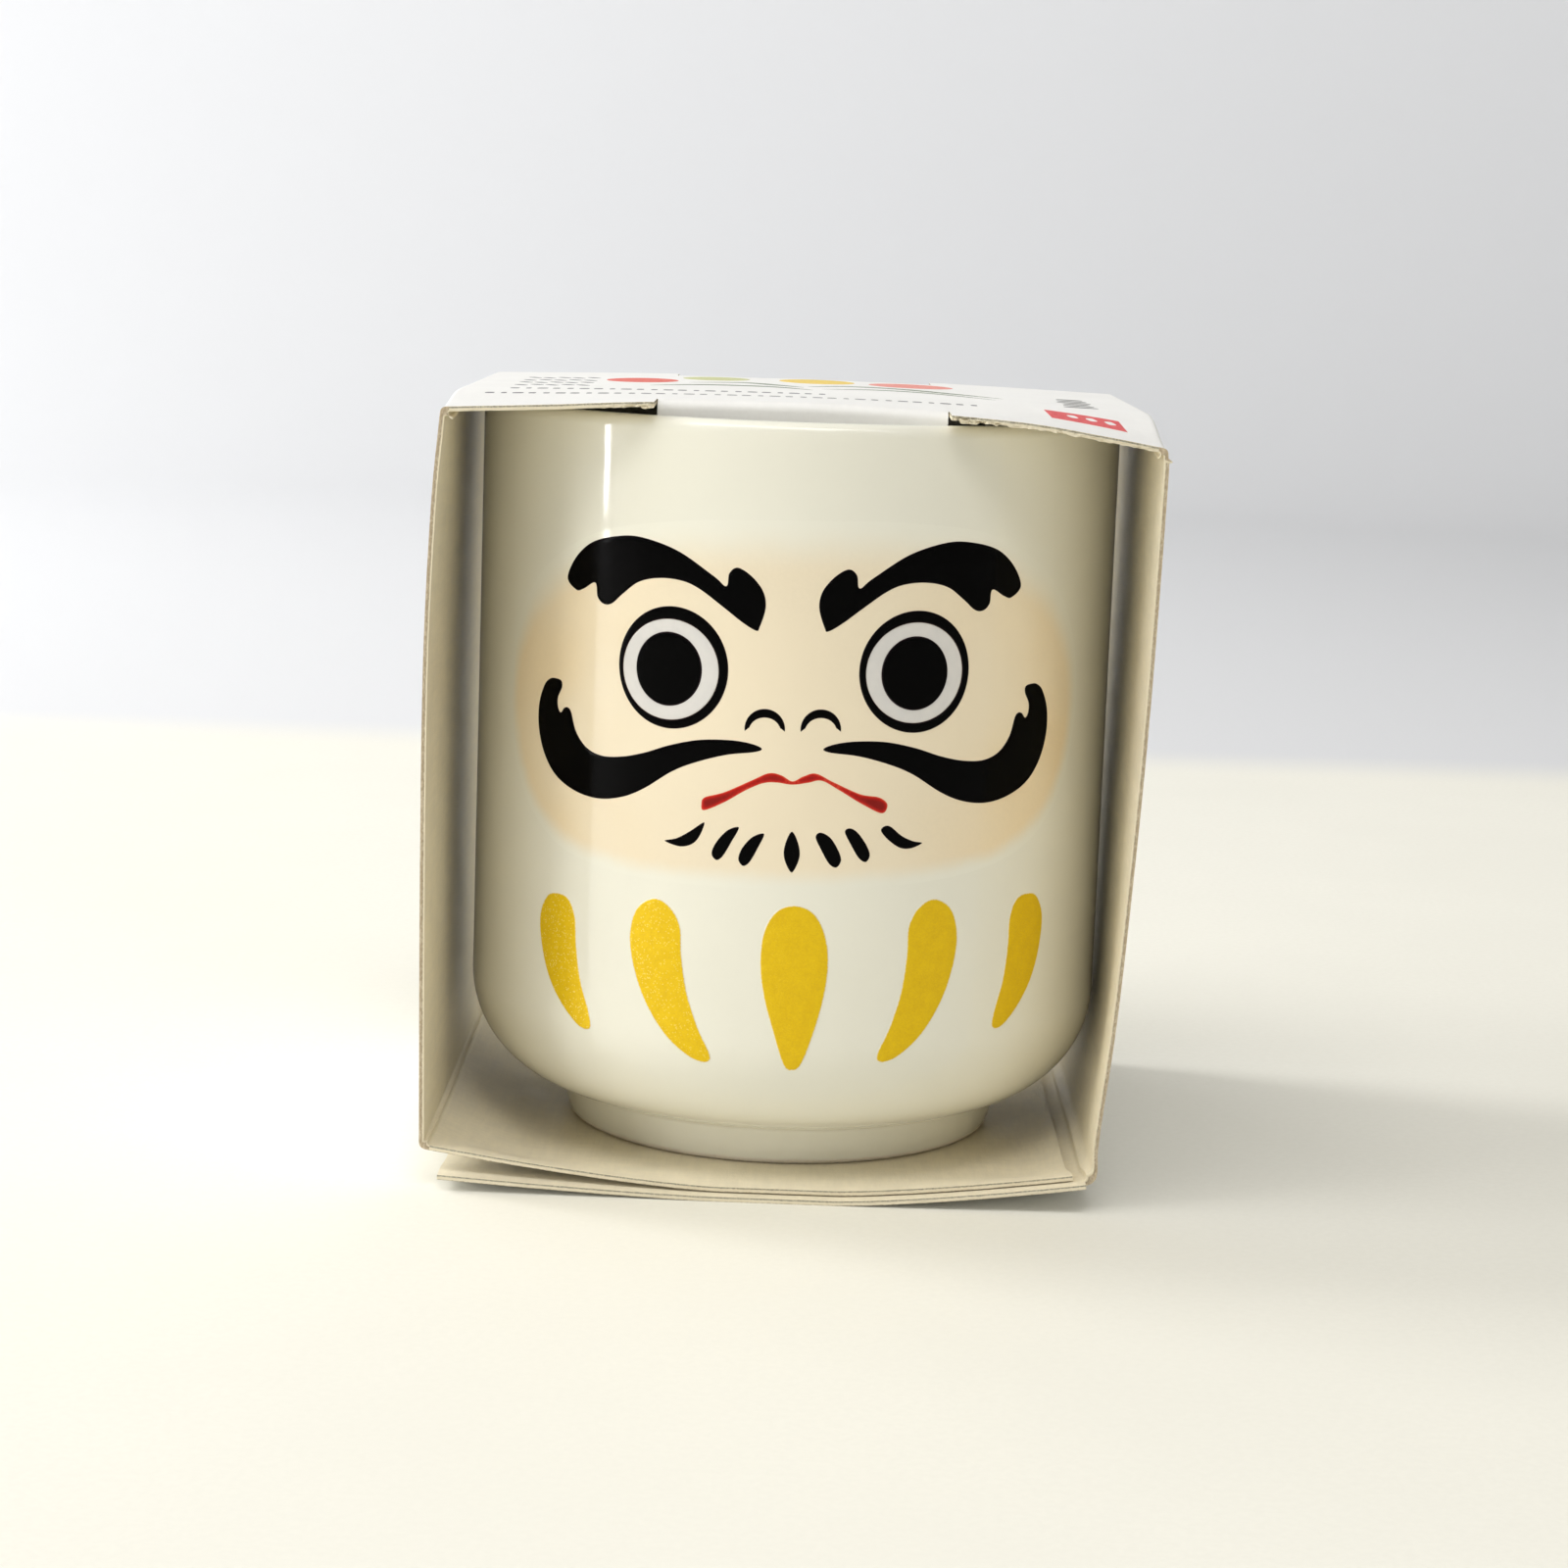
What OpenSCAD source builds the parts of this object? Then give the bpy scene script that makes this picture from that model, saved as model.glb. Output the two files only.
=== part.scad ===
// White porcelain tea cup printed with a daruma face, standing in a folded paperboard
// display sleeve that is open at the front and the back.
// Origin: on the table under the cup's axis. +X right, +Y back, +Z up. Millimetres.

/* [Cup] */
// Outside diameter of the straight side
cup_d = 70; // [66:0.5:70]
// Height from the foot to the lip
cup_h = 79.8; // [76:0.2:80.2]
// Wall thickness of the straight side
wall_t = 2.6; // [2.2:0.1:4]
// Radius of the rounded shoulder between the side and the foot
shoulder_r = 12; // [8:0.5:14]
// Radius of the foot ring where it stands
foot_r = 23.8; // [20:0.2:24]
// Height of the foot ring below the shoulder
foot_h = 4.2; // [3:0.1:6]
// Thickness of the cup's floor above the foot recess
floor_t = 4.2; // [3:0.1:8]

/* [Print] */
// Thickness of one fired layer of enamel
ink_t = 0.1; // [0.06:0.01:0.15]
// Lean of the whole picture on the cup, anticlockwise, in degrees
art_tilt = 1.6; // [0:0.1:3]
// Sideways shift of the picture along the cup's surface
art_shift = 0.2; // [-1:0.1:1]
// Extra sideways shift of the gold strokes
gold_shift = 0.4; // [-1:0.1:1]

/* [Sleeve] */
// Thickness of the paperboard
board_t = 0.5; // [0.3:0.05:0.6]
// Depth of the sleeve from its front edge to its back edge
sleeve_depth = 66; // [62:1:68]
// Thickness of the glue between the two bottom panels
glue_t = 0.15; // [0.05:0.05:0.3]
// How far the outer bottom panel sticks out in front of the rest
outer_ahead = 1.5; // [0:0.5:2]

/* [Lock tabs] */
// Width of each tab
tab_w = 29.6; // [20:0.2:29.6]
// Length of each tab below its crease
tab_len = 14; // [8:1:20]
// Distance from the cup's axis to the outside of a hanging tab
tab_y = 28.4; // [26:0.1:28.4]
// Outside radius of a tab's rounded crease
tab_bend_r = 1.1; // [0.8:0.1:1.5]

/* [Hidden] */
$fn = 96;

porcelain = [0.95, 0.95, 0.93];
flesh = [0.95, 0.88, 0.77];
black = [0.03, 0.03, 0.03];
red = [0.75, 0.12, 0.08];
gold = [0.85, 0.69, 0.1];
board = [0.93, 0.92, 0.89];
glue_tan = [0.85, 0.8, 0.65];

cup_r = cup_d / 2;
rest_gap = 0.05;
foot_z = 2 * board_t + glue_t + rest_gap;
shoulder_z = foot_h + shoulder_r;
lip_r = wall_t / 2;
foot_top_r = foot_r + 1.1;
foot_ring_w = 3.2;
recess_h = 3;
inner_fillet = 14;
lip_skirt = 6;
art_pivot_z = 47;

// ---------------------------------------------------------------- curves

function mix(a, b, t) = a * (1 - t) + b * t;
function ease(t) = t <= 0 ? 0 : t >= 1 ? 1 : t * t * (3 - 2 * t);

// One span of a Catmull-Rom curve, from b to c.
function span(a, b, c, d, t) =
    0.5 * (2 * b + (c - a) * t + (2 * a - 5 * b + 4 * c - d) * t * t
        + (3 * b - a - 3 * c + d) * t * t * t);

// A smooth closed outline through the points p, with n steps to a span.
function outline(p, n = 4) = let (m = len(p))
    [for (i = [0 : m - 1], k = [0 : n - 1])
        span(p[(i + m - 1) % m], p[i], p[(i + 1) % m], p[(i + 2) % m], k / n)];

// A point at u, from 0 to 1, on the smooth open curve through the points p.
function along(p, u) = let (
    m = len(p) - 1,
    i = min(floor(u * m), m - 1),
    before = i > 0 ? p[i - 1] : 2 * p[0] - p[1],
    after = i < m - 1 ? p[i + 2] : 2 * p[m] - p[m - 1])
    span(before, p[i], p[i + 1], after, u * m - i);

function ring(rx, rz, n = 48) = [for (k = [0 : n - 1]) [rx * cos(360 * k / n), rz * sin(360 * k / n)]];
function moved(p, by) = [for (q = p) q + by];
function mirrored(p) = [for (q = p) [-q[0], q[1]]];
function turned(p, a, c) = [for (q = p) let (d = q - c)
    c + [d[0] * cos(a) - d[1] * sin(a), d[0] * sin(a) + d[1] * cos(a)]];

// ---------------------------------------------------------------- cup

// Half section of the outside, grown by t, without the foot and the lip.
module side_section(t) {
    translate([0, shoulder_z]) square([cup_r + t, cup_h - lip_skirt - shoulder_z]);
    intersection() {
        translate([cup_r - shoulder_r, shoulder_z]) circle(shoulder_r + t);
        translate([0, 0]) square([cup_r + t, shoulder_z]);
    }
    translate([0, foot_h]) square([cup_r - shoulder_r, shoulder_r]);
}

module foot_section() {
    polygon([[0, 0], [foot_r, 0], [foot_top_r, foot_h + 0.4], [0, foot_h + 0.4]]);
}

module lip_section() {
    translate([0, cup_h - lip_skirt]) square([cup_r, lip_skirt - lip_r]);
    translate([cup_r - lip_r, cup_h - lip_r]) circle(lip_r);
}

module hollow_section() {
    inner_r = cup_r - wall_t;
    bottom = recess_h + floor_t;
    translate([0, bottom + inner_fillet]) square([inner_r, cup_h]);
    translate([0, bottom]) square([inner_r - inner_fillet, inner_fillet]);
    intersection() {
        translate([inner_r - inner_fillet, bottom + inner_fillet]) circle(inner_fillet);
        translate([0, bottom]) square([inner_r, inner_fillet]);
    }
}

module cup_body() {
    color(porcelain) translate([0, 0, foot_z]) rotate_extrude() difference() {
        union() {
            side_section(0);
            foot_section();
            lip_section();
        }
        hollow_section();
        square([foot_r - foot_ring_w, recess_h]);
    }
}

// ---------------------------------------------------------------- print

// Outlines are [distance along the cup's surface from the front, height above the foot],
// before the lean. They are given for the viewer's left. The brow and the moustache are
// mirrored for the right and turned a little; the whiskers on the right are drawn blunter.
brow = [[-25.8, 63.2], [-24.6, 65.4], [-22.3, 67.1], [-19, 67.9], [-16, 67.9], [-12, 66.7],
    [-8.2, 64.3], [-6.9, 63.3], [-6.6, 64.6], [-5.7, 65.2], [-4.3, 64.4], [-3.1, 62.9],
    [-2.8, 61.2], [-3.4, 59.2], [-3.8, 58.8], [-5.2, 59.6], [-7.2, 61.1], [-9.6, 62.8],
    [-11.5, 63.6], [-14, 63.8], [-16.4, 63.3], [-18.3, 62], [-19.7, 60.9], [-20.8, 60.8],
    [-21.6, 61.5], [-21.9, 62.9], [-23.4, 62.2], [-24.5, 62]];
moustache = [[-27.4, 52.6], [-26.6, 52.4], [-26.5, 51.7], [-27.1, 50.6], [-27.1, 49.6],
    [-26.7, 49.1], [-26.2, 49.6], [-25.6, 49.7], [-25.1, 49.2], [-24.4, 47.3], [-23, 45.8],
    [-21, 45.1], [-18.5, 45.2], [-15.8, 45.8], [-12.8, 46.8], [-9.6, 47.5], [-6.4, 47.6],
    [-4.2, 47.3], [-3.1, 46.8], [-3.8, 46.4], [-6.8, 46], [-10, 45.1], [-12.6, 44],
    [-15.8, 42], [-18.5, 40.9], [-21.5, 40.5], [-24.6, 41], [-27.4, 42.3], [-29.3, 44.4],
    [-30.3, 47], [-30.3, 49.6], [-29.4, 51.7], [-28.4, 52.5]];
mouth = [[-9.4, 40.9], [-9, 41.6], [-7, 42.2], [-4.2, 43.5], [-2.4, 44.3], [-1.1, 44.1], [0, 43.5],
    [1.1, 44], [2.4, 44.3], [4.2, 43.4], [7, 42.1], [9, 41.7], [9.9, 40.9], [9.3, 40],
    [7.2, 41], [4.8, 42.5], [3, 43.5], [1.6, 43.3], [0, 43.1], [-1.6, 43.3], [-3, 43.2],
    [-4.8, 42.4], [-7, 41.1], [-9.1, 40.2]];
wing = [[-13.4, 36.8], [-12, 37.2], [-10.6, 38], [-9.1, 39], [-9.2, 38.2], [-9.8, 37.1], [-10.6, 36.5],
    [-11.8, 36.3]];
outer_leaf = [[-5.4, 38.6], [-6.6, 38.3], [-7.8, 37], [-8.3, 35.8], [-7.8, 35.1], [-7.1, 35.5], [-6.2, 37]];
inner_leaf = [[-2.8, 38], [-4, 37.7], [-5.1, 36.5], [-5.5, 35.3], [-5, 34.6], [-4.3, 35], [-3.5, 36.4]];
wing_right = [[9.2, 38.2], [9.6, 38.7], [10.3, 38.6], [11.5, 37.6], [12.7, 37], [13.8, 36.7],
    [12.6, 36.2], [11.3, 36.3], [10, 37.2]];
outer_leaf_right = [[5.4, 38.2], [5.9, 38.6], [6.7, 38.2], [7.6, 37], [8.1, 35.8], [7.7, 35],
    [6.9, 35.4], [6, 36.9]];
inner_leaf_right = [[2.4, 37.7], [2.9, 38.2], [3.9, 37.7], [4.7, 36.5], [5.1, 35.3], [4.6, 34.5],
    [3.8, 34.9], [2.9, 36.5]];
middle_leaf = [[0, 38.3], [0.7, 37], [0.8, 35.5], [0, 34], [-0.8, 35.5], [-0.7, 37]];
field = [[0, 70], [-12, 69.7], [-22, 68], [-30, 63.5], [-34.8, 57], [-36.2, 49.5], [-34, 41.5],
    [-28, 35.6], [-18, 32.9], [0, 32.3], [18, 32.9], [28, 35.6], [34, 41.5], [36.2, 49.5],
    [34.8, 57], [30, 63.5], [22, 68], [12, 69.7]];
outer_gold = [[-27.6, 29.9], [-25.8, 29.5], [-24.8, 27.6], [-24.6, 24.6], [-24, 21], [-22.8, 17.6],
    [-22.7, 16], [-24.2, 16], [-26.6, 17.9], [-28.6, 20.4], [-29.9, 23.6], [-30.3, 27], [-29.2, 29.3]];
inner_gold = [[-15, 30.7], [-13.2, 30], [-12, 28], [-11.8, 24.8], [-11.2, 21], [-10, 17.4], [-8.7, 14.6],
    [-9.2, 13.7], [-11, 14.2], [-13.6, 16.3], [-15.8, 19.4], [-17.2, 22.8], [-17.8, 26.4], [-17, 29.4]];
centre_gold = [[-0.2, 30.6], [1.8, 29.9], [3.1, 27.6], [3.5, 24.4], [3, 20.6], [1.8, 16.4], [0.7, 13.7],
    [-0.2, 13.1], [-1.1, 13.7], [-2.2, 17.2], [-3.2, 21], [-3.6, 24.6], [-3.2, 27.8], [-2, 29.9]];

// Centres of the left and the right eye: the ring's outside, its white and the pupil.
eye_at = [[-12.7, 54.75], [12.8, 54.5]];
white_at = [[-12.95, 54.55], [12.75, 54.4]];
pupil_at = [[-13.05, 54.6], [12.7, 54.35]];
eye_outer = [6.1, 6.3];
eye_white = [5.3, 5.15];
pupil_size = [3.65, 3.8];
brow_turn = -1.2;
brow_centre = [12, 62];
brow_shift = [-0.25, -0.2];
moustache_turn = -0.7;
moustache_tip = [3.1, 46.8];
nostril_at = [2.85, 48.8];
nostril_r = 2.1;
nostril_w = 0.95;

// A picture point seen from the front of the cup, after the lean.
function on_cup(q) = let (
    d = [q[0], q[1] - art_pivot_z],
    arc = d[0] * cos(art_tilt) - d[1] * sin(art_tilt) + art_shift,
    z = d[0] * sin(art_tilt) + d[1] * cos(art_tilt) + art_pivot_z)
    [cup_r * sin(arc / cup_r * 180 / PI), z];

module drawn(p) {
    polygon([for (q = p) on_cup(q)]);
}

// The children, a flat picture, as one enamel layer between the depths low and high.
module enamel(low, high) {
    translate([0, 0, foot_z]) intersection() {
        rotate_extrude() difference() {
            side_section(high);
            side_section(low);
            square([cup_r - shoulder_r, shoulder_z]);
        }
        rotate([90, 0, 0]) linear_extrude(cup_r + 1) children();
    }
}

module on_field() {
    color(black) enamel(ink_t, 2 * ink_t) children();
}

module face_field() {
    color(flesh) enamel(0, ink_t) difference() {
        drawn(outline(field));
        for (at = white_at) drawn(moved(ring(eye_white[0], eye_white[1]), at));
    }
}

module eye_outline(eye) {
    on_field() difference() {
        drawn(moved(ring(eye_outer[0], eye_outer[1]), eye_at[eye]));
        drawn(moved(ring(eye_white[0], eye_white[1]), white_at[eye]));
    }
}

module pupil(eye) {
    color(black) enamel(0, ink_t) drawn(moved(ring(pupil_size[0], pupil_size[1]), pupil_at[eye]));
}

// A half ring that opens downwards and thins to both ends.
function nostril() = concat(
    [for (a = [-10 : 10 : 190]) nostril_r * [cos(a), sin(a)]],
    [for (a = [180 : -10 : 0]) let (w = nostril_w * (0.55 + 0.45 * sin(a)))
        (nostril_r - w) * [cos(a), sin(a)]]);

module nose_marks() {
    on_field() for (side = [-1, 1])
        drawn(moved(nostril(), [side * nostril_at[0], nostril_at[1]]));
}

module chin_whiskers() {
    on_field() for (leaf = [wing, outer_leaf, inner_leaf, middle_leaf, inner_leaf_right,
        outer_leaf_right, wing_right]) drawn(outline(leaf));
}

module gold_stroke(p) {
    color(gold) enamel(0, ink_t) drawn(moved(outline(p), [gold_shift, 0]));
}

module brow_left() { on_field() drawn(outline(brow)); }
module brow_right() {
    on_field() drawn(outline(moved(turned(mirrored(brow), brow_turn, brow_centre), brow_shift)));
}
module eye_outline_left() { eye_outline(0); }
module eye_outline_right() { eye_outline(1); }
module pupil_left() { pupil(0); }
module pupil_right() { pupil(1); }
module moustache_left() { on_field() drawn(outline(moustache)); }
module moustache_right() {
    on_field() drawn(outline(turned(mirrored(moustache), moustache_turn, moustache_tip)));
}
module mouth_line() { color(red) enamel(ink_t, 2 * ink_t) drawn(outline(mouth)); }
module gold_stroke_1() { gold_stroke(outer_gold); }
module gold_stroke_2() { gold_stroke(inner_gold); }
module gold_stroke_3() { gold_stroke(centre_gold); }
module gold_stroke_4() { gold_stroke(mirrored(inner_gold)); }
module gold_stroke_5() { gold_stroke(mirrored(outer_gold)); }

// ---------------------------------------------------------------- sleeve

// Each panel is a curve in X and Z, run round the sleeve so that the inside is on its
// right, at the front edge and further back. The board bends from one to the other.
front_y = -sleeve_depth / 2;
back_y = sleeve_depth / 2;
settle = 22;
bottom_settle = 9;
// Distances behind the front edge at which each sheet is cut into facets.
stations = [0, 1.5, 3, 4.5, 6, 7.5, 9, 12, 16, 22, 44, sleeve_depth];
seam = 0.015;
foot_flat = 26;
left_front = [[-37.25, 5], [-37.65, 32], [-37.75, 55], [-37.25, 71], [-36.55, 80.2]];
left_full = [[-37.25, 5], [-37.55, 32], [-37.55, 55], [-37.1, 81.2]];
top_front = [[-35.6, 81.25], [-25.6, 81.8], [-15, 82.45], [-2, 82.65], [8, 82.5], [21.8, 81.75],
    [30, 80.7], [36, 79.75]];
top_full = [[-36.2, 82.1], [-18, 82.6], [0, 82.75], [18, 82.6], [36.3, 82.1]];
right_front = [[36.95, 78.9], [37.05, 75.5], [36.4, 49.6], [35, 22.8], [33.65, 8.2], [33.6, 4.6]];
right_full = [[37.2, 81.2], [36.9, 60], [36.3, 35], [35.85, 17], [34.6, 8.5], [33.9, 4]];
inner_free_x = 31.1;
inner_left_x = -36.2;
outer_right_x = 32.4;
outer_free_x = -35.15;
crease_x = 37;

function settled(y, over) = ease((y - front_y) / over);

// Lift of the bottom towards its sides: [half width of the flat, lift at the crease].
function dish(x, shape) =
    shape[1] * pow(max(abs(x) - shape[0], 0) / (crease_x - shape[0]), 1.4);

function left_line(u, y) = mix(along(left_front, u), along(left_full, u), settled(y, settle));
function top_line(u, y) = mix(along(top_front, u), along(top_full, u), settled(y, settle));
function right_line(u, y) = mix(along(right_front, u), along(right_full, u), settled(y, settle));
function inner_line(u, y) = let (
    x = mix(inner_free_x, inner_left_x, u),
    s = settled(y, bottom_settle))
    [x, board_t + glue_t + mix(dish(x, [6, 3.45]), dish(x, [foot_flat, 3.4]), s)];
function outer_line(u, y) = let (
    x = mix(outer_right_x, outer_free_x, u),
    s = settled(y, bottom_settle),
    lift = x > 0 ? [3.45, 3.4] : [1.4, 0.7])
    [x, mix(dish(x, [6, lift[0]]), dish(x, [foot_flat, lift[1]]), s)];

// A tight bend from the end of one line to the start of the next, along both headings.
function bend(p0, t0, p2, t2, u) = let (p1 = p0 + t0 * cross(p2 - p0, t2) / cross(t0, t2))
    mix(mix(p0, p1, u), mix(p1, p2, u), u);

function line(name, u, y) =
    name == "left" ? left_line(u, y) :
    name == "top" ? top_line(u, y) :
    name == "right" ? right_line(u, y) :
    name == "inner" ? inner_line(u, y) :
    name == "outer" ? outer_line(u, y) :
    name == "inner-left" ? joint("inner", "left", u, y) :
    name == "left-top" ? joint("left", "top", u, y) :
    name == "top-right" ? joint("top", "right", u, y) :
    joint("right", "outer", u, y);
function heading(name, u, y) = let (d = line(name, u + 0.001, y) - line(name, u - 0.001, y)) d / norm(d);
function joint(a, b, u, y) = bend(
    line(a, 1, y), heading(a, 0.999, y), line(b, 0, y), heading(b, 0.001, y), u);

// A point of the board: 0 on its outside face, 1 on its inside face.
function on_board(name, u, y, depth) = let (
    p = line(name, u, y),
    h = heading(name, min(max(u, 0.001), 0.999), y),
    q = p + [h[1], -h[0]] * board_t * depth)
    [q[0], y, q[1]];

// One sheet of board that follows a line through the Y positions ys, short of both ends by trim.
module sheet(name, ys, nu, trim = 0) {
    nv = len(ys) - 1;
    wide = nu + 1;
    half = wide * (nv + 1);
    points = [for (depth = [0, 1], y = ys, i = [0 : nu])
        on_board(name, mix(trim, 1 - trim, i / nu), y, depth)];
    faces = concat(
        [for (j = [0 : nv - 1], i = [0 : nu - 1]) let (a = j * wide + i)
            each [[a, a + wide, a + wide + 1], [a, a + wide + 1, a + 1]]],
        [for (j = [0 : nv - 1], i = [0 : nu - 1]) let (a = half + j * wide + i)
            each [[a, a + wide + 1, a + wide], [a, a + 1, a + wide + 1]]],
        [for (i = [0 : nu - 1]) let (a = i)
            each [[a, a + 1, a + 1 + half], [a, a + 1 + half, a + half]]],
        [for (i = [0 : nu - 1]) let (a = nv * wide + i)
            each [[a, a + 1 + half, a + 1], [a, a + half, a + 1 + half]]],
        [for (j = [0 : nv - 1]) let (a = j * wide, d = a + wide)
            each [[d, a, a + half], [d, a + half, d + half]]],
        [for (j = [0 : nv - 1]) let (a = j * wide + nu, d = a + wide)
            each [[d, a + half, a], [d, d + half, a + half]]]);
    polyhedron(points, faces);
}

panel_ys = [for (s = stations) front_y + s];
outer_ys = [front_y - outer_ahead, each [for (y = panel_ys) if (y < back_y) y], back_y - outer_ahead];
crease_gap = 0.06;
notch_y = tab_y - tab_bend_r - crease_gap;
tab_top_z = 82.62;
tab_corner_r = 4;

module top_panel() {
    color(board) difference() {
        sheet("top", panel_ys, 14);
        for (side = [-1, 1]) translate([0, side * (notch_y + sleeve_depth / 2), tab_top_z])
            cube([tab_w + 0.4, sleeve_depth, 6], center = true);
    }
}

module left_wall() { color(board) sheet("left", panel_ys, 12); }
module right_wall() { color(board) sheet("right", panel_ys, 14); }
module bottom_inner_panel() { color(board) sheet("inner", panel_ys, 24); }
module bottom_outer_panel() { color(board) sheet("outer", outer_ys, 24); }
module fold_top_left() { color(board) sheet("left-top", panel_ys, 5, seam); }
module fold_top_right() { color(board) sheet("top-right", panel_ys, 5, seam); }
module fold_bottom_left() { color(board) sheet("inner-left", panel_ys, 5, seam); }
module fold_bottom_right() { color(board) sheet("right-outer", panel_ys, 5, seam); }

module glue_strip() {
    strip = [14, 44];
    color(glue_tan) translate([6, -strip[1] / 2, board_t]) cube([strip[0], strip[1], glue_t]);
}

// Side view of a tab: a quarter bend from the panel, then a flap that hangs down.
module tab_profile() {
    inside_r = tab_bend_r - board_t;
    difference() {
        circle(tab_bend_r);
        circle(inside_r);
        translate([0, -2 * tab_bend_r]) square(4 * tab_bend_r);
        translate([-2 * tab_bend_r, -4 * tab_bend_r]) square(4 * tab_bend_r);
    }
    translate([-tab_bend_r, -tab_len]) square([board_t, tab_len]);
}

// Front view of a tab, with rounded lower corners.
module tab_outline() {
    translate([-tab_w / 2, tab_corner_r - tab_len]) square([tab_w, tab_len + tab_bend_r - tab_corner_r]);
    translate([tab_corner_r - tab_w / 2, -tab_len]) square([tab_w - 2 * tab_corner_r, tab_corner_r]);
    for (side = [-1, 1]) translate([side * (tab_w / 2 - tab_corner_r), tab_corner_r - tab_len])
        circle(tab_corner_r);
}

module lock_tab() {
    color(board) translate([0, tab_bend_r - tab_y, tab_top_z - tab_bend_r]) intersection() {
        rotate([90, 0, 90]) linear_extrude(tab_w, center = true) tab_profile();
        rotate([90, 0, 0]) linear_extrude(8, center = true) tab_outline();
    }
}

module front_lock_tab() { lock_tab(); }
module rear_lock_tab() { mirror([0, 1, 0]) lock_tab(); }

cup_body();
face_field();
brow_left();
brow_right();
eye_outline_left();
eye_outline_right();
pupil_left();
pupil_right();
nose_marks();
moustache_left();
moustache_right();
mouth_line();
chin_whiskers();
gold_stroke_1();
gold_stroke_2();
gold_stroke_3();
gold_stroke_4();
gold_stroke_5();
top_panel();
left_wall();
right_wall();
bottom_inner_panel();
bottom_outer_panel();
fold_top_left();
fold_top_right();
fold_bottom_left();
fold_bottom_right();
glue_strip();
front_lock_tab();
rear_lock_tab();
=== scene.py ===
"""White porcelain tea cup printed with a daruma face, in a folded paperboard display sleeve."""

import math

import bpy
import numpy as np
from bpy.props import FloatProperty, FloatVectorProperty, IntProperty, PointerProperty
from mathutils import Euler, Matrix, Vector
from mathutils.geometry import delaunay_2d_cdt


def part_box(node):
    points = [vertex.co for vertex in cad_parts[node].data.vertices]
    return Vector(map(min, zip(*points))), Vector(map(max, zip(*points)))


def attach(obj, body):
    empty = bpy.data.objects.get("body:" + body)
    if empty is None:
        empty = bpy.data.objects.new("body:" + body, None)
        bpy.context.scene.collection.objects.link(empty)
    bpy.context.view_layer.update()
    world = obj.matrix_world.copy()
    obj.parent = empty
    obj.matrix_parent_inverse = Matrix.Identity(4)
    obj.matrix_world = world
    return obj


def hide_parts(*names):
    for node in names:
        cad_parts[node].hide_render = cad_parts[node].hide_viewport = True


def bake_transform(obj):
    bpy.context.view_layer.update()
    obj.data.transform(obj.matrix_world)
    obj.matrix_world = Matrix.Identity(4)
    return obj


bl_info = {
    "name": "Daruma Tea Cup",
    "version": (1, 0, 0),
    "blender": (4, 5, 0),
    "location": "View3D > Sidebar > Tea Cup",
    "description": "Builds a porcelain tea cup with a daruma face and its display sleeve",
    "category": "Add Mesh",
}

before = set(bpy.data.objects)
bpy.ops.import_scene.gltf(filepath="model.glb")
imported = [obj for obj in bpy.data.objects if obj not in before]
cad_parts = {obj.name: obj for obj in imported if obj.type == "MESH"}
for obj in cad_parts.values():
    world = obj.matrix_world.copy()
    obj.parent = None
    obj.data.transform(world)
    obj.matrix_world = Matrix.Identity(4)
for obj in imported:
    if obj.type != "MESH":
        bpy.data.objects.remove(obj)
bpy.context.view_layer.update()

MM = 0.001
PI = math.pi


def box_mm(node):
    """Lowest and highest corners of a node of the frame, in millimetres."""
    low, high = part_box(node)
    return np.array(low) / MM, np.array(high) / MM


CUP_LOW, CUP_HIGH = box_mm("cup_body")
WALL_LOW, WALL_HIGH = box_mm("right_wall")
TAB_LOW, TAB_HIGH = box_mm("front_lock_tab")
FOOT_Z = float(CUP_LOW[2])
FRONT_Y = float(WALL_LOW[1])
BACK_Y = float(WALL_HIGH[1])


# ---------------------------------------------------------------- settings


def length(name, description, mm):
    """A length setting whose default is given in millimetres."""
    return FloatProperty(name=name, description=description, default=float(mm) * MM, unit="LENGTH",
                         subtype="DISTANCE", precision=5)


def colour(name, description, rgb):
    """A colour setting."""
    return FloatVectorProperty(name=name, description=description, default=rgb, subtype="COLOR",
                               min=0.0, max=1.0)


class CupSettings(bpy.types.PropertyGroup):
    radius: length("Radius", "Outside radius of the straight side", (CUP_HIGH[0] - CUP_LOW[0]) / 2)
    height: length("Height", "Height from the foot to the lip", CUP_HIGH[2] - CUP_LOW[2])
    wall: length("Wall", "Wall thickness of the straight side", 2.6)
    shoulder: length("Shoulder", "Radius of the rounded shoulder above the foot", 12)
    foot_radius: length("Foot radius", "Radius of the foot ring where it stands", 23.8)
    enamel: length("Enamel", "Thickness of one fired layer of enamel", 0.045)
    glaze: colour("Glaze", "Colour of the glazed porcelain", (0.87, 0.855, 0.745))
    flesh: colour("Flesh enamel", "Colour of the face's ground", (0.87, 0.765, 0.575))
    black: colour("Black enamel", "Colour of the brows, eyes and whiskers", (0.0008, 0.0008, 0.001))
    red: colour("Red enamel", "Colour of the mouth", (0.50, 0.008, 0.004))
    gold: colour("Gold enamel", "Colour of the five strokes", (0.82, 0.52, 0.003))


class SleeveSettings(bpy.types.PropertyGroup):
    board: length("Board", "Thickness of the paperboard", 0.5)
    tab_length: length("Tab length", "Length of a lock tab below its crease", 14)
    tab_bend: length("Tab bend", "Outside radius of a lock tab's crease", 1.1)
    facets: IntProperty(name="Facets", description="Rows of faces from the front edge to the back edge",
                        default=72, min=24, max=160)
    coated: colour("Coated face", "Colour of the board's printed side", (0.87, 0.865, 0.84))
    liner: colour("Inside face", "Colour of the board's unprinted side", (0.87, 0.79, 0.60))
    pulp: colour("Cut edge", "Colour of the pulp that shows on a cut edge", (0.50, 0.40, 0.27))


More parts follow.
